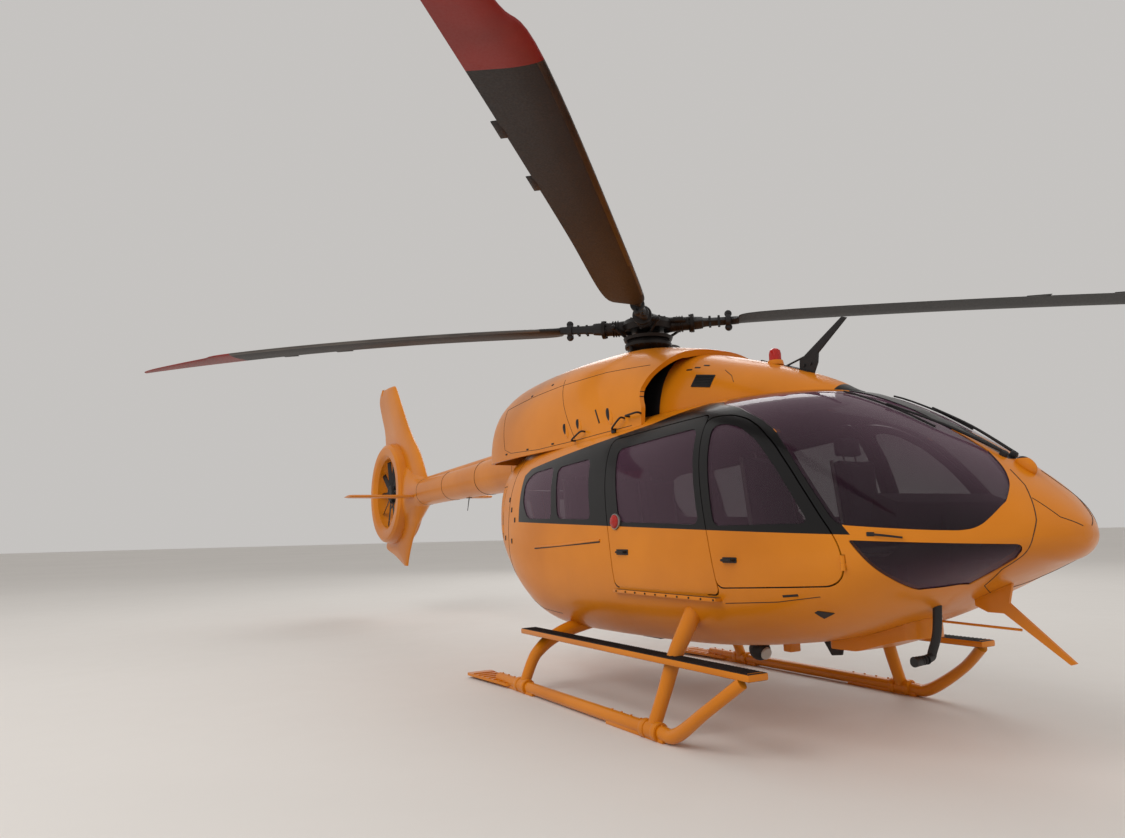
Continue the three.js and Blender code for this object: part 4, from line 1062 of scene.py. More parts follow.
class HELI_OT_gear(bpy.types.Operator):
    """Builds the skids, legs and boarding steps"""

    bl_idname = "helicopter.gear"
    bl_label = "Landing gear"

    def execute(self, context):
        for hand, side in SIDES:
            fitting(f"skid_tube_{hand}", self.skid(side), PAINT, f"skid_{hand}")
            for place, rows in LEGS.items():
                fitting(f"leg_tube_{place}_{hand}", self.leg(rows, side), PAINT,
                        f"leg_{place}_{hand}")
            self.build_step(hand, side)
        return {"FINISHED"}

    def skid(self, side):
        """A skid's tube with its shoes, their bolts and the rear paw with its ribs."""
        y = side * SKID_Y
        skid = pipe(mirrored(SKID_LINE, side), (0, 1, 0), 28, 8)
        for start, end in SHOES:
            add_box(skid, Vector(((start + end) / 2, y, 14)), (end - start, 68, 28), bevel=5)
            for i in range(6):
                x = start + 40 + i * (end - start - 80) / 5
                add_rod(skid, (x, y, 10), (x, y, 102), 9, sides=6)
        (front, narrow), (rear, wide) = PAW
        outline = [(front, y - narrow), (front, y + narrow), (rear, y + wide), (rear, y - wide)]
        absorb(skid, prism(outline, "z", 22, 44, 30))
        for i in range(7):
            size = (14, 2 * narrow + 16 * i * 0.9, 8)
            add_box(skid, Vector((front - 60 - i * 90, y, 47)), size, bevel=2)
        return skid

    def leg(self, rows, side):
        """A leg's tube with the clamps that hold it on the skid."""
        leg = pipe(mirrored(rows, side), (1, 0, 0), 28, 6)
        foot, y, z = rows[0][0], side * SKID_Y, rows[0][2]
        for x in (foot - 62, foot + 62):
            add_rod(leg, (x - 24, y, z), (x + 24, y, z), 60, sides=36, bevel=5)
        add_rod(leg, (foot - 90, y, z), (foot + 90, y, z), 54, sides=36)
        return off_hull(leg, ("DIFFERENCE", box(-LONG, LONG, -1500, 1500, -100, 8)))

    def build_step(self, hand, side):
        """The long board beside the doors, with its grip strips and brackets."""
        y = side * STEP_Y
        low = STEP_TOP - STEP_THICK
        step = box(STEP_REAR, STEP_FRONT, y - STEP_HALF, y + STEP_HALF, low, STEP_TOP - 3, 10)
        for i in range(STEP_STRIPS):
            x = STEP_REAR + 30 + i * (STEP_FRONT - STEP_REAR - 60) / (STEP_STRIPS - 1)
            add_box(step, Vector((x, y, STEP_TOP - 2)), (9, 2 * STEP_HALF - 34, 4))
        for rows in LEGS.values():
            start, end = sorted((side * 870, y))
            add_box(step, Vector((rows[2][0], (start + end) / 2, low - 2)), (90, end - start, 36), bevel=5)
        for face in step.faces:
            middle = face.calc_center_median()
            side_face = abs(face.normal.y) > 0.6 and abs(abs(middle.y) - STEP_Y) > STEP_HALF - 4
            if side_face or abs(face.normal.x) > 0.8 and middle.x > STEP_FRONT - 30:
                face.material_index = 1
        fitting(f"boarding_step_{hand}", step, ("Grip-coated aluminium", PAINT),
                f"step_{hand}")


class Surface:
    """A skin that small fittings are set on."""

    def __init__(self, bm):
        self.tree = BVHTree.FromBMesh(bm)
        bm.free()

    def cast(self, start, ahead):
        """The skin's point and outward normal where a ray from outside meets it."""
        ahead = Vector(ahead)
        point, normal, _, _ = self.tree.ray_cast(Vector(start), ahead)
        if point is None:
            raise ValueError(f"no skin ahead of {start}")
        return point, normal * (1 if normal.dot(ahead) < 0 else -1)

    def beside(self, x, z, side):
        """Point and normal, looking in from one side."""
        return self.cast((x, side * SIGHT_SIDE, z), (0, -side, 0))

    def above(self, x, y):
        """Point and normal, looking down."""
        return self.cast((x, y, SIGHT_TOP), (0, 0, -1))

    def below(self, x, y):
        """Point and normal, looking up."""
        return self.cast((x, y, SIGHT_LOW), (0, 0, 1))

    def nearest(self, x, y, z):
        """Nearest point of the skin and its normal."""
        return self.tree.find_nearest(Vector((x, y, z)))[:2]

    def side_view(self, side):
        """The function that gives point and normal at x and z, looking in from that side."""

        def look(x, z):
            return self.beside(x, z, side)

        return look


def facing(normal, along=(1, 0, 0)):
    """A turn whose Z is the normal and whose X runs along the skin."""
    z = Vector(normal).normalized()
    x = (Vector(along) - z * z.dot(Vector(along))).normalized()
    return Matrix((x, z.cross(x), z)).transposed().to_4x4()


def laid(skin_at, a, b, count):
    """The skin's points at even steps from a to b; skin_at gives point and normal."""
    return [skin_at(*between(a, b, i / count))[0] for i in range(count + 1)]


def bead(bm, points, width, skin_at, every=45):
    """Adds a thin bead along a line through points, drawn onto the skin."""
    rows = []
    for a, b in zip(points, points[1:]):
        rows += laid(skin_at, a, b, max(int(math.dist(a, b) / every), 1))[:-1]
    rows.append(skin_at(*points[-1])[0])
    absorb(bm, pipe([(*p, width / 2) for p in rows], (0.3, 0.5, 0.81), 6, 1))


def add_plate(bm, at, size, bevel, along=(1, 0, 0)):
    """Adds a block set on a skin; at is the skin's point and normal."""
    add_box(bm, at[0], size, facing(at[1], along), bevel)


def add_handle(bm, look, x, z, half, size, lift):
    """Adds a plate with a bar held off it by two posts."""
    point, normal = look(x, z)
    add_box(bm, point, size, facing(normal), 4)
    ends = [look(x + aside, z)[0] for aside in (-half, half)]
    for end in ends:
        add_rod(bm, end, end + normal * lift, 8, sides=14)
    add_rod(bm, ends[0] + normal * lift, ends[1] + normal * lift, 8, sides=14)


class HELI_OT_hull_fittings(bpy.types.Operator):
    """Sets seams, handles, tracks, lamps, wipers and vents on the hull and doors"""

    bl_idname = "helicopter.hull_fittings"
    bl_label = "Hull fittings"

    def execute(self, context):
        hull = Surface(pod(0))
        width = looks().seam_width / MM
        for hand, side in SIDES:
            look = hull.side_view(side)
            self.rail(hand, look)
            self.seams(hand, look, width, hull, side)
            self.door_parts(hand, look, side)
            self.lamp(hand, look)
        self.wipers(hull)
        self.probes(hull)
        return {"FINISHED"}

    def rail(self, hand, look):
        """The sliding door's track on the hull's side, and a black strip under it that is the track's
        painted shadow.
        """
        bm = bmesh.new()
        for a, b in (((-545, 1160), (-72, 1179)), ((-72, 1179), (548, 1217))):
            absorb(bm, pipe([(*p, 9) for p in laid(look, a, b, 8)], (0, 0, 1), 10, 1))
        fitting(f"door_track_{hand}", bm, PAINT)
        # A thin black rubber strip under the track stands in for its shadow: painted shadow.
        painted_shadow_line = laid(look, (-545, 1148), (548, 1204), 16)
        fitting(f"track_shadow_{hand}", pipe([(*p, 6) for p in painted_shadow_line], (0, 0, 1), 8, 1))

    def seams(self, hand, look, width, hull, side):
        """Panel seams of the nose and belly."""
        bm = bmesh.new()
        for line in NOSE_SEAMS:
            bead(bm, mirrored(line, side), width, hull.nearest, 25)
        for line in HULL_SEAMS:
            bead(bm, line, width, look)
        fitting(f"panel_seams_{hand}", bm)

    def door_parts(self, hand, look, side):
        """Handles, catches and the bolts of the sliding door's ledge."""
        handle = bmesh.new()
        add_handle(handle, look, 1992, 1093, 42, (120, 34, 10), 30)
        piece(f"front_handle_{hand}", handle, RUBBER, f"front_door_{hand}")
        catches = bmesh.new()
        add_plate(catches, look(2395, 900), (100, 14, 6), 2)
        add_handle(catches, look, 850, 1130, 50, (150, 40, 10), 24)
        for x, z in ((-1355, 1241), (-1117, 1212), (-1234, 1605), (-1136, 1505), (-1029, 1408)):
            add_plate(catches, look(x, z), (26, 46, 10), 3)
        fitting(f"catches_{hand}", catches)
        bolts = bmesh.new()
        for x in range(780, 1861, 120):
            add_rod(bolts, (x, side * 943, 850), (x, side * 948, 850), 7, sides=6)
        fitting(f"ledge_bolts_{hand}", bolts, STEEL)

    def lamp(self, hand, look):
        """The round side lamp and its rim."""
        point, normal = look(775, 1352)
        rim = rod(point - normal * 4, point + normal * 14, 62, 58, 48, 3)
        fitting(f"side_lamp_rim_{hand}", rim, "Brushed aluminium")
        lens = bmesh.new()
        add_ball(lens, point + normal * 12, (52, 52, 24), 32, facing(normal))
        fitting(f"side_lamp_{hand}", lens, "Red acrylic lens")

    def wipers(self, hull):
        """The windscreens' wipers and the cover of their motor."""
        wipers = bmesh.new()
        for _, side in SIDES:
            base, normal = hull.above(3215, side * 45)
            add_rod(wipers, base - normal * 8, base + normal * 26, 24, 18, 24, 4)
            tip, up = hull.above(2640, side * 210)
            mid, lift = hull.above(2930, side * 128)
            arm = [(*(base + normal * 20), 9), (*(mid + lift * 22), 8), (*(tip + up * 14), 6)]
            absorb(wipers, pipe(arm, (0, 1, 0), 12, 6))
            blade = [hull.above(2360 + 70 * i, side * (236 - 8 * i))[0] for i in range(9)]
            absorb(wipers, pipe([(*(p + Vector((0, 0, 6))), 6) for p in blade], (0, 1, 0), 10, 1))
        fitting("wipers", wipers)
        cover = bmesh.new()
        point, normal = hull.above(3300, 0)
        add_ball(cover, point + normal * 6, (66, 30, 46), 28, facing(normal))
        fitting("wiper_motor_cover", cover, PAINT)

    def probes(self, hull):
        """The air probes beside the nose, and the vents and drains under the belly."""
        probes = bmesh.new()
        for _, side in SIDES:
            start, normal = hull.beside(2900, 1236, side)
            add_box(probes, start, (40, 22, 10), facing(normal), 3)
            end, out = hull.beside(3045, 1216, side)
            absorb(probes, pipe([(*(start + normal * 4), 6), (*(start.lerp(end, 0.5) + normal * 30), 6),
                                 (*(end + out * 16), 5)], (0, 0, 1), 12, 6))
            y = hull.beside(2500, 800, side)[0].y
            # The vent's opening is a flush black patch on the skin: painted shade.
            vent = prism([(2462, 822), (2560, 806), (2486, 744)], "y", y - 30, y + 30, 8)
            absorb(probes, combine(vent, ("INTERSECT", pod(-3)), ("DIFFERENCE", pod(4))))
        for y in (-130, 130):
            point, normal = hull.below(2240, y)
            add_ball(probes, point, (34, 34, 12), 20, facing(normal))
        for x in (-200, 700, 1100):
            point, normal = hull.below(x, 180)
            add_rod(probes, point + normal * 4, point + normal * 60, 11, 7, 16)
        fitting("probes_and_vents", probes)


class HELI_OT_roof_fittings(bpy.types.Operator):
    """Sets vents, handles, grilles, seams and lamps on the cowling and tail"""

    bl_idname = "helicopter.roof_fittings"
    bl_label = "Roof fittings"

    def execute(self, context):
        cowl = Surface(cowl_outside())
        width = looks().seam_width / MM
        for hand, side in SIDES:
            look = cowl.side_view(side)
            self.vents(hand, look)
            self.handles(hand, look)
            self.seams(hand, look, width)
        self.beacon(cowl)
        self.grilles(cowl)
        self.tail_parts()
        return {"FINISHED"}

    def vents(self, hand, look):
        """Teardrop cooling scoops and slots along the cowling's foot. The scoops' mouths, a slot and two
        small vents are black bodies: painted shade in their openings.
        """
        along = (0.45, 0, -0.9)
        scoops = bmesh.new()
        for x, z, length in ((-262, 2162, 74), (-45, 2178, 66), (409, 2200, 80)):
            point, normal = look(x, z)
            add_ball(scoops, point - normal * 4, (length, 34, 16), 28, facing(normal, along))
        fitting(f"cooling_scoops_{hand}", scoops, PAINT)
        # Black bodies stand in for the dark insides of the openings: painted shade.
        mouths = bmesh.new()
        for x, z, length in ((-278, 2178, 60), (-61, 2194, 54), (393, 2216, 66)):
            point, normal = look(x, z)
            add_ball(mouths, point + normal * 2, (length, 26, 14), 28, facing(normal, along))
        add_plate(mouths, look(230, 2225), (140, 16, 6), 2, (0.5, 0, -0.86))
        for x, z in ((-1129, 2620), (-760, 2672)):
            point, normal = look(x, z)
            add_ball(mouths, point - normal * 3, (26, 14, 8), 20, facing(normal))
        fitting(f"scoop_mouth_shade_{hand}", mouths)

    def handles(self, hand, look):
        """Bent grab handles and catches above the windows."""
        bars = bmesh.new()
        for x0, z0, x1, z1 in ((-105, 2060, 47, 2120), (497, 2085, 608, 2159), (674, 2163, 813, 2171)):
            a, n = look(x0, z0)
            b, m = look(x1, z1)
            rows = (a, a + n * 42, a.lerp(b, 0.5) + n * 50, b + m * 42, b)
            absorb(bars, pipe([(*p, 8) for p in rows], (0.2, 0.1, 0.97), 12, 5))
        add_plate(bars, look(470, 2075), (54, 34, 26), 5)
        for x in (-1500, -1000, -500):
            add_plate(bars, look(x, 2075), (44, 16, 8), 3)
        fitting(f"grab_handles_{hand}", bars)

    def seams(self, hand, look, width):
        """Seams between the cowling's panels."""
        bm = bmesh.new()
        for line in COWLING_SEAMS:
            bead(bm, line, width, look)
        fitting(f"cowling_seams_{hand}", bm)

    def beacon(self, cowl):
        """The anticollision beacon on the fairing, and two antenna plates."""
        point, _ = cowl.above(1560, 0)
        base = rod(point - Vector((0, 0, 14)), point + Vector((0, 0, 22)), 62, 54, 40, 3)
        fitting("beacon_base", base, PAINT)
        dome = turned([(0, 0), (44, 0), (44, 50), (38, 78), (22, 92), (0, 97)],
                      (point.x, 0, point.z + 20), (0, 0, 1), 40)
        fitting("beacon_dome", dome, "Red acrylic lens")
        plates = bmesh.new()
        add_plate(plates, cowl.above(1780, 0), (230, 70, 8), 3)
        point, normal = cowl.above(1330, 120)
        absorb(plates, rod(point - normal * 4, point + normal * 12, 40, 34, 32, 3))
        fitting("antenna_plates", plates)

    def grilles(self, cowl):
        """Slatted air grilles on both sides of the fairing."""
        for hand, side in SIDES:
            point, normal = cowl.beside(1190, 2378, side)
            turn = facing(normal, (1, 0, -0.1))
            grille = bmesh.new()
            add_box(grille, point, (190, 110, 8), turn, 3)
            for i in range(7):
                shift = turn.to_3x3() @ Vector((0, (i - 3) * 14, 5))
                add_box(grille, point + shift, (176, 5, 8), turn)
            for i in range(3):
                add_plate(grille, cowl.beside(1000 + 70 * i, 2500 + 6 * i, side), (56, 14, 6), 2)
            fitting(f"fairing_grille_{hand}", grille)

    def tail_parts(self):
        """The fin's lamp, the boom's bands and its antennas."""
        lamp = turned([(0, 0), (22, 0), (22, 18), (16, 26), (0, 26)], FIN_LAMP, (0, 0, 1), 28)
        fitting("fin_lamp", lamp, "Clear acrylic lens")
        bands = bmesh.new()
        for x in (-2350, -3500, -4700, -5780):
            ahead = next(i for i, row in enumerate(BOOM[1:]) if row[0] <= x)
            a, b = BOOM[ahead], BOOM[ahead + 1]
            middle, half, tall = between(a[1:], b[1:], (x - a[0]) / (b[0] - a[0]))
            form = (middle - tall, middle, middle + tall, half, BOOM_ROUND, BOOM_ROUND)
            band = [(x, *rounded(i / 48, *form), 3.2) for i in range(49)]
            absorb(bands, pipe(band, (1, 0, 0), 6, 1))
        fitting("boom_bands", bands)
        whips = bmesh.new()
        for x in (-3000, -4200):
            add_box(whips, Vector((x, 0, 1775)), (120, 40, 16), None, 4)
            add_rod(whips, (x, 0, 1775), (x - 60, 0, 1600), 7, 4, 12)
        fitting("boom_antennas", whips)


class HELI_OT_under_parts(bpy.types.Operator):
    """Builds the cable cutters and what stands under the belly"""

    bl_idname = "helicopter.under_parts"
    bl_label = "Cutters and belly parts"

    def execute(self, context):
        self.cutters()
        plan = [(2620, -150), (2700, -60), (2700, 60), (2620, 150), (2050, 190), (2050, -190)]
        profile = [(2050, 520), (2260, 520), (2450, 580), (2620, 625), (2760, 640), (2760, 900),
                   (2050, 900)]
        fairing = off_hull(prism(plan, "z", 500, 900, 40),
                           ("INTERSECT", prism(profile, "y", -FAR, FAR, 30)))
        fitting("belly_blister", fairing, PAINT, "belly_fairing")
        pad = box(-70, 190, -130, 130, 380, 520, 8)
        for x in (-40, 160):
            for y in (-100, 100):
                add_rod(pad, (x, y, 380), (x, y, 396), 14, sides=6)
        antenna = prism([(1780, 620), (2035, 620), (1990, 452), (1905, 440)], "y", -6, 6, 5)
        fitting("belly_antenna", off_hull(antenna))
        fitting("belly_sensor_box", off_hull(box(1510, 1585, -48, 48, 425, 560, 8)), PAINT)
        fitting("hook_hard_point", off_hull(pad), STEEL, "hook_pad")
        step = off_hull(pipe([(2870, -215, 900, 24), (2850, -215, 700, 24), (2812, -215, 590, 24),
                              (2808, -240, 556, 24), (2830, -400, 548, 24)], (1, 0, 0), 20, 8))
        for i in range(5):
            add_rod(step, (2822, -280 - 26 * i, 552), (2822, -286 - 26 * i, 552), 25.5, sides=20)
        fitting("nose_foothold", step, replaces="nose_step")
        lamp = bmesh.new()
        x, y, z = BELLY_LAMP
        add_ball(lamp, BELLY_LAMP, (76, 76, 76), 40)
        add_rod(lamp, BELLY_LAMP, (x, y, z + 145), 26)
        for _, side in SIDES:
            add_box(lamp, Vector((x, y + side * 70, z + 25)), (30, 8, 90), None, 3)
        fitting("belly_lamp_body", lamp, replaces="belly_light")
        lens = rod((x + 60, y, z - 20), (x + 76, y, z - 25), 46, 40, 40, 3)
        fitting("belly_lamp_lens", lens, "Clear acrylic lens")
        return {"FINISHED"}

    def cutters(self):
        """The cable cutters above and below the windscreens, with their braces."""
        upper = prism([(1790, 2300), (1900, 2300), (1955, 2400), (1965, 2465), (2225, 2650), (2190, 2662),
                       (1890, 2492), (1800, 2440)], "y", -9, 9, 4)
        brace = rod((1640, 0, 2425), (1930, 0, 2478), 7, sides=16)
        upper = off_hull(upper, ("UNION", brace), ("DIFFERENCE", hood(FAIRING, -FIT)))
        for x in (1840, 1900):
            add_rod(upper, (x, -16, 2400), (x, 16, 2400), 12, sides=6)
        fitting("upper_cutter_blade", upper, replaces="upper_cable_cutter")
        lower = prism([(2950, 960), (3170, 960), (3143, 856), (3455, 582), (3427, 572), (3110, 800),
                       (3020, 800), (2950, 830)], "y", -9, 9, 4)
        brace = rod((2359, 0, 734), (3193, 0, 721), 7, sides=16)
        fitting("lower_cutter_blade", off_hull(lower, ("UNION", brace)), PAINT,
                "lower_cable_cutter")


def cushion(x0, x1, y0, y1, z0, z1, lean=0.0, crown=22):
    """A crowned pad between limits, leaned back about its middle; its sides pull in."""
    bm = bmesh.new()
    size = ((x1 - x0) / 2, (y1 - y0) / 2, (z1 - z0) / 2)
    bmesh.ops.create_cube(bm, size=2)
    bmesh.ops.subdivide_edges(bm, edges=bm.edges[:], cuts=11, use_grid_fill=True)
    for vert in bm.verts:
        u, v, w = vert.co
        thin = size.index(min(size))
        puff = (1 - abs((u, v, w)[(thin + 1) % 3]) ** 4) * (1 - abs((u, v, w)[(thin + 2) % 3]) ** 4)
        pull = 0.93 + 0.07 * (u * u + v * v + w * w) / 3
        place = [u * size[0] * pull, v * size[1] * pull, w * size[2] * pull]
        place[thin] *= 0.72 + crown / max(size[thin], 1) * puff * 0.5
        vert.co = place
    round_off(bm, [e for e in bm.edges if e.calc_face_angle(0) > 0.9], 14, 3)
    bmesh.ops.rotate(bm, cent=(0, 0, 0), verts=bm.verts, matrix=Matrix.Rotation(lean, 3, "Y"))
    bmesh.ops.translate(bm, vec=((x0 + x1) / 2, (y0 + y1) / 2, (z0 + z1) / 2), verts=bm.verts)
    return bm


def cushions(table, y, ending=""):
    """The named cushions of one place whose middle is at y; ending is added to their names."""
    return [(word + ending, cushion(x0, x1, y - half, y + half, z0, z1, lean))
            for word, x0, x1, half, z0, z1, lean in table]


def inflate(obj):
    """Blows a cushion up as cloth, keeps every point within the cap and applies the result."""
    start = obj.data.copy()
    remesh = obj.modifiers.new("Even", "REMESH")
    remesh.mode = "VOXEL"
    remesh.voxel_size = CLOTH_MESH
    bpy.context.view_layer.update()
    depsgraph = bpy.context.evaluated_depsgraph_get()
    even = bpy.data.meshes.new_from_object(obj.evaluated_get(depsgraph))
    obj.modifiers.clear()
    obj.data = even
    before = [v.co.copy() for v in even.vertices]
    cloth = obj.modifiers.new("Puff", "CLOTH")
    cloth.settings.use_pressure = True
    cloth.settings.uniform_pressure_force = PRESSURE
    cloth.settings.effector_weights.gravity = 0.0
    cloth.settings.quality = CLOTH_QUALITY
    for number in range(1, SIM_STEPS + 1):
        bpy.context.scene.frame_set(number)
    depsgraph = bpy.context.evaluated_depsgraph_get()
    puffed = bpy.data.meshes.new_from_object(obj.evaluated_get(depsgraph))
    obj.modifiers.clear()
    obj.data = puffed
    for vert, old in zip(puffed.vertices, before):
        move = vert.co - old
        if move.length > PUFF_CAP:
            vert.co = old + move * (PUFF_CAP / move.length)
    shade_smooth(puffed)
    bpy.context.scene.frame_set(1)
    puffed.materials.clear()
    for material in start.materials:
        puffed.materials.append(material)
    for old in (start, even):
        bpy.data.meshes.remove(old)


def upholster(name, parts):
    """Cushions of one seat, each its own padded piece; the first stands for the seat's solid."""
    first = parts[0][0]
    for word, bm in parts:
        obj = piece(f"{name}_{word}", bm, "Woven seat cloth", "airframe", crease=70)
        inflate(obj)
        smooth = obj.modifiers.new("Smooth", "SUBSURF")
        smooth.levels = smooth.render_levels = 1
        if word == first:
            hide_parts(name)


def add_seat_bars(bm, places, rail, legs):
    """Adds a bent side bar with two legs at each y of places; rail and legs are [x, z]."""
    for y in places:
        absorb(bm, pipe([(x, y, z, 14) for x, z in rail], (0, 1, 0), 12, 6))
        for (x0, z0), (x1, z1) in legs:
            add_rod(bm, (x0, y, z0), (x1, y, z1), 13, sides=14)


class HELI_OT_cabin(bpy.types.Operator):
    """Builds the seats, console, sticks and cabin fittings"""

    bl_idname = "helicopter.cabin"
    bl_label = "Cabin"

    def execute(self, context):
        for hand, side in SIDES:
            y = side * PILOT_Y
            upholster(f"pilot_seat_{hand}", cushions(PILOT_CUSHIONS, y))
            bars = bmesh.new()
            places = (y - 180, y + 180)
            add_seat_bars(bars, places, [(2380, 1095), (2000, 1085), (1890, 1130), (1800, 1740)],
                          [((2350, FOOT_Z), (2330, 1095)), ((1960, FOOT_Z), (1980, 1090))])
            for place in places:
                add_box(bars, Vector((2150, place, 850)), (520, 30, 16), None, 4)
            for aside in (-60, 60):
                add_rod(bars, (1818, y + aside, 1700), (1794, y + aside, 1810), 7, sides=12)
            fitting(f"pilot_seat_{hand}_frame", bars, "Brushed aluminium")
        upholster("cabin_seat_row", [part for i, y in enumerate(ROW_Y)
                                     for part in cushions(ROW_CUSHIONS, y, f"_{i + 1}")])
        bars = bmesh.new()
        add_seat_bars(bars, ROW_BARS_Y, [(20, 1095), (-360, 1085), (-470, 1130), (-560, 1760)],
                      [((0, FOOT_Z), (-10, 1095)), ((-400, FOOT_Z), (-390, 1090))])
        for middle in ROW_Y:
            for y in (middle - 60, middle + 60):
                add_rod(bars, (-528, y, 1720), (-558, y, 1825), 7, sides=12)
        fitting("seat_row_frame", bars, "Brushed aluminium")
        self.console()
        self.controls()
        return {"FINISHED"}

    def console(self):
        """The centre console and the instrument panel with its screens."""
        desk = prism([(2480, 840.4), (2850, 840.4), (2930, 1170), (2880, 1400), (2720, 1460), (2680, 1400),
                      (2620, 1170), (2480, 1080)], "y", -140, 140, 14)
        shield = prism([(2690, 1180), (2870, 1180), (2900, 1400), (2760, 1460)], "y", -520, 520, 14)
        desk = combine(desk, ("UNION", shield), ("INTERSECT", pod(WALL + 2)))
        screens = bmesh.new()
        tilt = Matrix.Rotation(SCREEN_LEAN, 4, "Y")
        for y in SCREENS_Y:
            add_box(desk, Vector((2722, y, 1320)), (14, 190, 150), tilt, 4)
            add_box(screens, Vector((2713, y, 1320)), (6, 160, 120), tilt, 2)
        for i in range(6):
            for j in range(4):
                x, y, z = 2500 + 18 * i, -90 + 60 * j, 1086 + 8 * i
                add_rod(desk, (x, y, z), (x - 2, y, z + 14), 9, sides=12)
        fitting("instrument_desk", desk, "Moulded black plastic", "instrument_console")
        fitting("panel_screens", screens, "Display glass")

    def controls(self):
        """Sticks, pedals and an overhead panel."""
        sticks = bmesh.new()
        for _, side in SIDES:
            y = side * PILOT_Y
            absorb(sticks, pipe([(2480, y, 845, 13), (2450, y, 1050, 12), (2420, y, 1240, 12),
                                 (2390, y, 1330, 20)], (0, 1, 0), 14, 6))
            absorb(sticks, pipe([(2100, side * 660, 950, 16), (2330, side * 660, 1080, 13),
                                 (2430, side * 660, 1130, 20)], (0, 1, 0), 14, 6))
            for aside in (-70, 70):
                add_box(sticks, Vector((2760, y + aside, 1000)), (14, 80, 120), None, 4)
                add_rod(sticks, (2760, y + aside, FOOT_Z), (2762, y + aside, 950), 9, sides=12)
        absorb(sticks, combine(box(1700, 2110, -120, 120, 2085, 2200, 8), ("INTERSECT", pod(WALL + FIT))))
        fitting("flight_controls", sticks, "Moulded black plastic")


class HELI_OT_carried_parts(bpy.types.Operator):
    """Gives the solids that still show their finishes"""

    bl_idname = "helicopter.carried_parts"
    bl_label = "Carried-over solids"

    def execute(self, context):
        finishes = {
            "cabin_floor": "Vinyl floor covering",
            "engine_right": "Cast aluminium",
            "engine_left": "Cast aluminium",
            "main_gearbox": STEEL,
        }
        for name, material in finishes.items():
            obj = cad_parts[name]
            obj.data.materials.clear()
            obj.data.materials.append(bpy.data.materials[material])
        return {"FINISHED"}


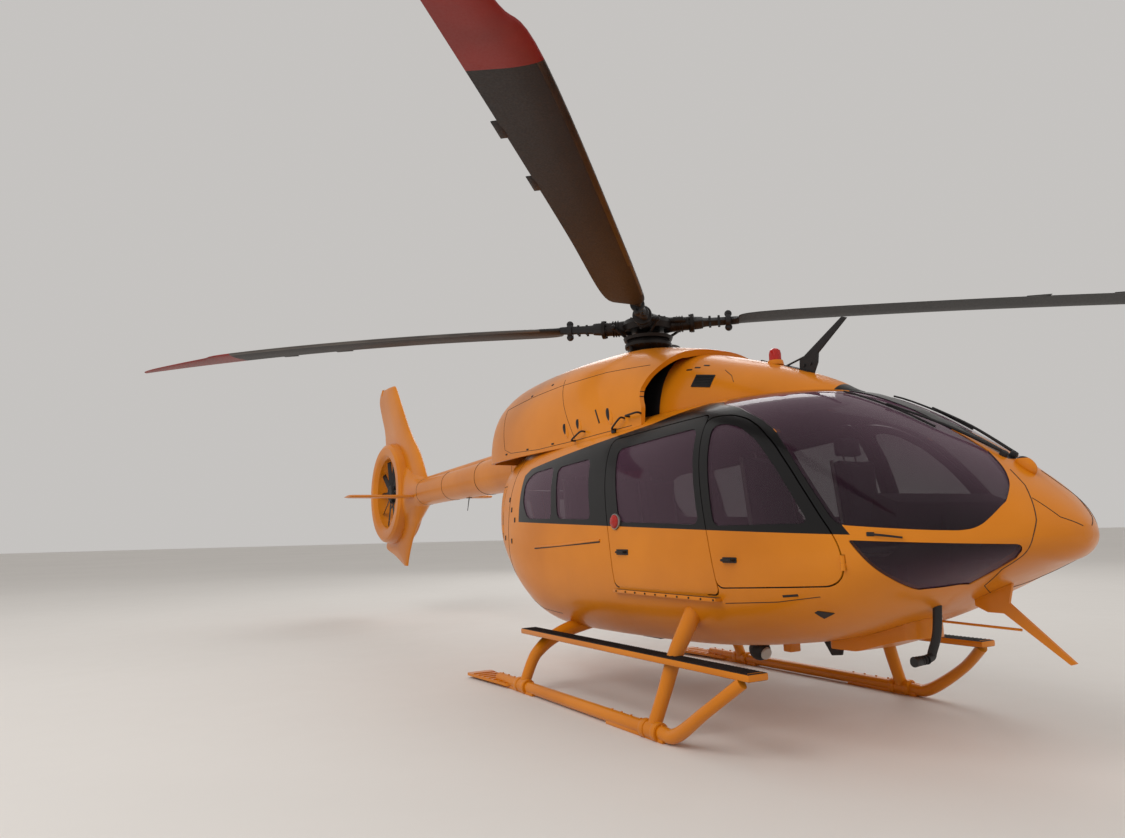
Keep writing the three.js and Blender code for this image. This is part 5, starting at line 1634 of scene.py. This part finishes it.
class HELI_OT_finishes(bpy.types.Operator):
    """Makes the materials"""

    bl_idname = "helicopter.finishes"
    bl_label = "Finishes"

    def execute(self, context):
        body = hex_of(looks().body_color)
        # Two-pack polyurethane over aluminium and composite: deep gloss, faint streaks of road film.
        finish(PAINT, body, "#c4700a", 0.3, 0.9, 0.06, spread=0.02, relief=0.0001,
               coat=0.12, mask=window_band, shine=0.3)
        # Plain matt lining inside the cabin walls.
        finish("Grey cabin lining", "#3d3b38", "#322f2d", 0.75, 0.3, 0.01)
        # Cast acrylic, tinted, and slightly purple at a slant: that paler purple is a painted reflection
        # of the sky.
        self.glass("Tinted acrylic", "#21141c", "#7d596e", 0.04)
        # Lacquered glass-fibre blade with a little chalky wear.
        finish("Black blade lacquer", "#0e0c0d", "#181415", 0.5, 0.5, 0.01)
        finish("Red tip lacquer", "#8c1710", "#74130d", 0.38, 0.4, 0.01)
        # Stainless strip on the leading edge, polished by sand and rain.
        finish("Polished erosion strip", "#5d5957", "#6f6a66", 0.34, 0.3, 0.004, metallic=1.0)
        # Phosphated and oiled forgings.
        finish(STEEL, "#2b2726", "#1e1b1a", 0.45, 0.12, 0.004, metallic=0.7)
        finish("Brushed aluminium", "#a9a7a3", "#96938e", 0.38, 0.1, 0.002, metallic=1.0)
        # Sand-cast case: grainy and dull.
        finish("Cast aluminium", "#8b8883", "#76736e", 0.55, 0.1, 0.003, metallic=0.85, relief=0.0006)
        # Stainless pipe, browned and blued by exhaust heat.
        finish("Heat-stained steel", "#7b6a5d", "#4a3f3c", 0.42, 0.09, 0.004, metallic=1.0)
        finish("Grip-coated aluminium", "#161415", "#242122", 0.8, 0.2, 0.003, relief=0.0012)
        finish(RUBBER, "#141213", "#1d1a1b", 0.55, 0.15, 0.004)
        finish("Moulded black plastic", "#1c1b1c", "#262425", 0.5, 0.2, 0.002)
        finish("Vinyl floor covering", "#3b3c3d", "#2f3031", 0.7, 0.3, 0.006, relief=0.0008)
        # Woven seat cloth: the weave is drawn at 4 mm, coarser than the thread, so that it shows.
        self.cloth("Woven seat cloth", "#23262c", "#34383f", 0.004)
        finish("Display glass", "#0b0d10", "#11151a", 0.08, 0.2, 0.05, spread=0.02)
        self.lens("Red acrylic lens", "#c01f14")
        self.lens("Clear acrylic lens", "#e9e6df")
        # Pale seamless floor.
        finish("Studio floor", "#dedad5", "#dad6d1", 0.7, 6.0, 0.3, relief=0.0)
        return {"FINISHED"}

    def glass(self, name, color, painted_reflection, roughness):
        """A see-through sheet with a faint dusty drift in its gloss; at a slant it grows less clear and
        turns a paler purple, a painted reflection of the sky.
        """
        material = finish(name, color, "#2a1a23", roughness, 0.6, 0.08, spread=0.015, relief=0.0)
        tree = material.node_tree
        shader = tree.nodes["Principled BSDF"]
        slant = node(tree, "LayerWeight", {"Blend": 0.3}).outputs["Facing"]
        cover = node(tree, "MapRange", {0: slant, 3: 0.42, 4: 0.92}).outputs[0]
        clear = shader.inputs["Base Color"].links[0].from_socket
        # At a slant the colour turns a paler purple and the sheet less clear: a painted reflection of the
        # sky.
        tree.links.new(mixed(tree, slant, clear, linear(painted_reflection)), shader.inputs["Base Color"])
        tree.links.new(cover, shader.inputs["Alpha"])
        shader.inputs["IOR"].default_value = ACRYLIC_IOR
        shader.inputs["Specular IOR Level"].default_value = 0.4

    def lens(self, name, color):
        """A ribbed lamp lens."""
        material = finish(name, color, color, 0.12, 0.05, 0.006, spread=0.03, relief=0.0008)
        shader = material.node_tree.nodes["Principled BSDF"]
        shader.inputs["Transmission Weight"].default_value = 0.35
        shader.inputs["IOR"].default_value = ACRYLIC_IOR

    def cloth(self, name, color, second, thread):
        """A plain weave of crossed ribs."""
        tree = finish(name, color, second, 0.85, 0.2, thread, relief=0.0005, sheen=0.25).node_tree
        place = node(tree, "TexCoord").outputs["Object"]
        wave = {"Vector": place, "Scale": 0.31 / thread}
        ribs = [node(tree, "TexWave", wave, bands_direction=word).outputs[1] for word in ("Y", "Z")]
        weave = math_node(tree, "MULTIPLY", *ribs)
        bump = node(tree, "Bump", {"Height": weave, "Strength": 0.5, "Distance": 0.0006})
        tree.links.new(bump.outputs[0], tree.nodes["Principled BSDF"].inputs["Normal"])


class HELI_OT_stage(bpy.types.Operator):
    """Sets the pale floor, the soft lights and the photograph's camera"""

    bl_idname = "helicopter.stage"
    bl_label = "Stage"

    def execute(self, context):
        bm = bmesh.new()
        bmesh.ops.create_circle(bm, cap_ends=True, segments=128, radius=looks().floor_radius / MM)
        bmesh.ops.transform(bm, matrix=TO_FRAME, verts=bm.verts)
        floor = loose("studio_floor", bm)
        shade_smooth(floor.data)
        floor.data.materials.append(bpy.data.materials["Studio floor"])
        self.lights(context)
        self.camera(context)
        return {"FINISHED"}

    def lights(self, context):
        """One large key light, a fill, a rim light and a pale sky."""
        target = Vector(LIT_POINT)
        for name, place, size, power in LIGHTS:
            data = bpy.data.lights.new(name, "AREA")
            data.size = size
            data.energy = power
            light = bpy.data.objects.new(name, data)
            light.location = place
            light.rotation_mode = "QUATERNION"
            light.rotation_quaternion = (target - Vector(place)).to_track_quat("-Z", "Y")
            context.scene.collection.objects.link(light)
            # The key and the fill would stand in the windscreens as bright squares.
            light.visible_glossy = name == "rim"
        world = bpy.data.worlds.new("studio")
        world.use_nodes = True
        background = world.node_tree.nodes["Background"]
        background.inputs[0].default_value = linear("#f4f1ee")
        background.inputs[1].default_value = SKY_STRENGTH
        context.scene.world = world
        context.scene.view_settings.view_transform = "Standard"

    def camera(self, context):
        """The photograph's own place and turn."""
        yaw, pitch, roll = CAMERA_YAW, CAMERA_PITCH, CAMERA_ROLL
        level = math.cos(pitch)
        forward = Vector((level * math.cos(yaw), level * math.sin(yaw), math.sin(pitch)))
        right = forward.cross(Vector((0, 0, 1))).normalized()
        up = right.cross(forward)
        right_rolled = right * math.cos(roll) + up * math.sin(roll)
        up_rolled = up * math.cos(roll) - right * math.sin(roll)
        data = bpy.data.cameras.new("photograph")
        data.lens = CAMERA_LENS
        data.sensor_width = SENSOR
        data.sensor_fit = "HORIZONTAL"
        camera = bpy.data.objects.new("photograph", data)
        turn = Matrix((right_rolled, up_rolled, -forward)).transposed().to_4x4()
        camera.matrix_world = Matrix.Translation(CAMERA_AT) @ turn
        context.scene.collection.objects.link(camera)
        context.scene.camera = camera


STEPS = (
    HELI_OT_finishes, HELI_OT_hull, HELI_OT_doors, HELI_OT_glass, HELI_OT_cowling, HELI_OT_tail,
    HELI_OT_fan, HELI_OT_blades, HELI_OT_head, HELI_OT_gear, HELI_OT_hull_fittings,
    HELI_OT_roof_fittings, HELI_OT_under_parts, HELI_OT_cabin, HELI_OT_carried_parts, HELI_OT_stage,
)


class HELI_PT_panel(bpy.types.Panel):
    """Lists the helicopter's building steps"""

    bl_idname = "HELI_PT_panel"
    bl_label = "Helicopter"
    bl_space_type = "VIEW_3D"
    bl_region_type = "UI"
    bl_category = "Helicopter"

    def draw(self, context):
        for name in ("body_color", "seam_width", "skin_points", "floor_radius"):
            self.layout.prop(context.scene.helicopter_looks, name)
        for step in STEPS:
            self.layout.operator(step.bl_idname)


CLASSES = (HelicopterLooks, *STEPS, HELI_PT_panel)


def register():
    """Registers the classes and the scene's settings."""
    for each in CLASSES:
        bpy.utils.register_class(each)
    bpy.types.Scene.helicopter_looks = PointerProperty(type=HelicopterLooks)


def unregister():
    """Takes the settings and the classes away again."""
    del bpy.types.Scene.helicopter_looks
    for each in reversed(CLASSES):
        bpy.utils.unregister_class(each)


def main():
    """Builds the whole scene."""
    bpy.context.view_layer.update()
    register()
    for step in STEPS:
        group, name = step.bl_idname.split(".")
        getattr(getattr(bpy.ops, group), name)()


if __name__ == "__main__":
    main()
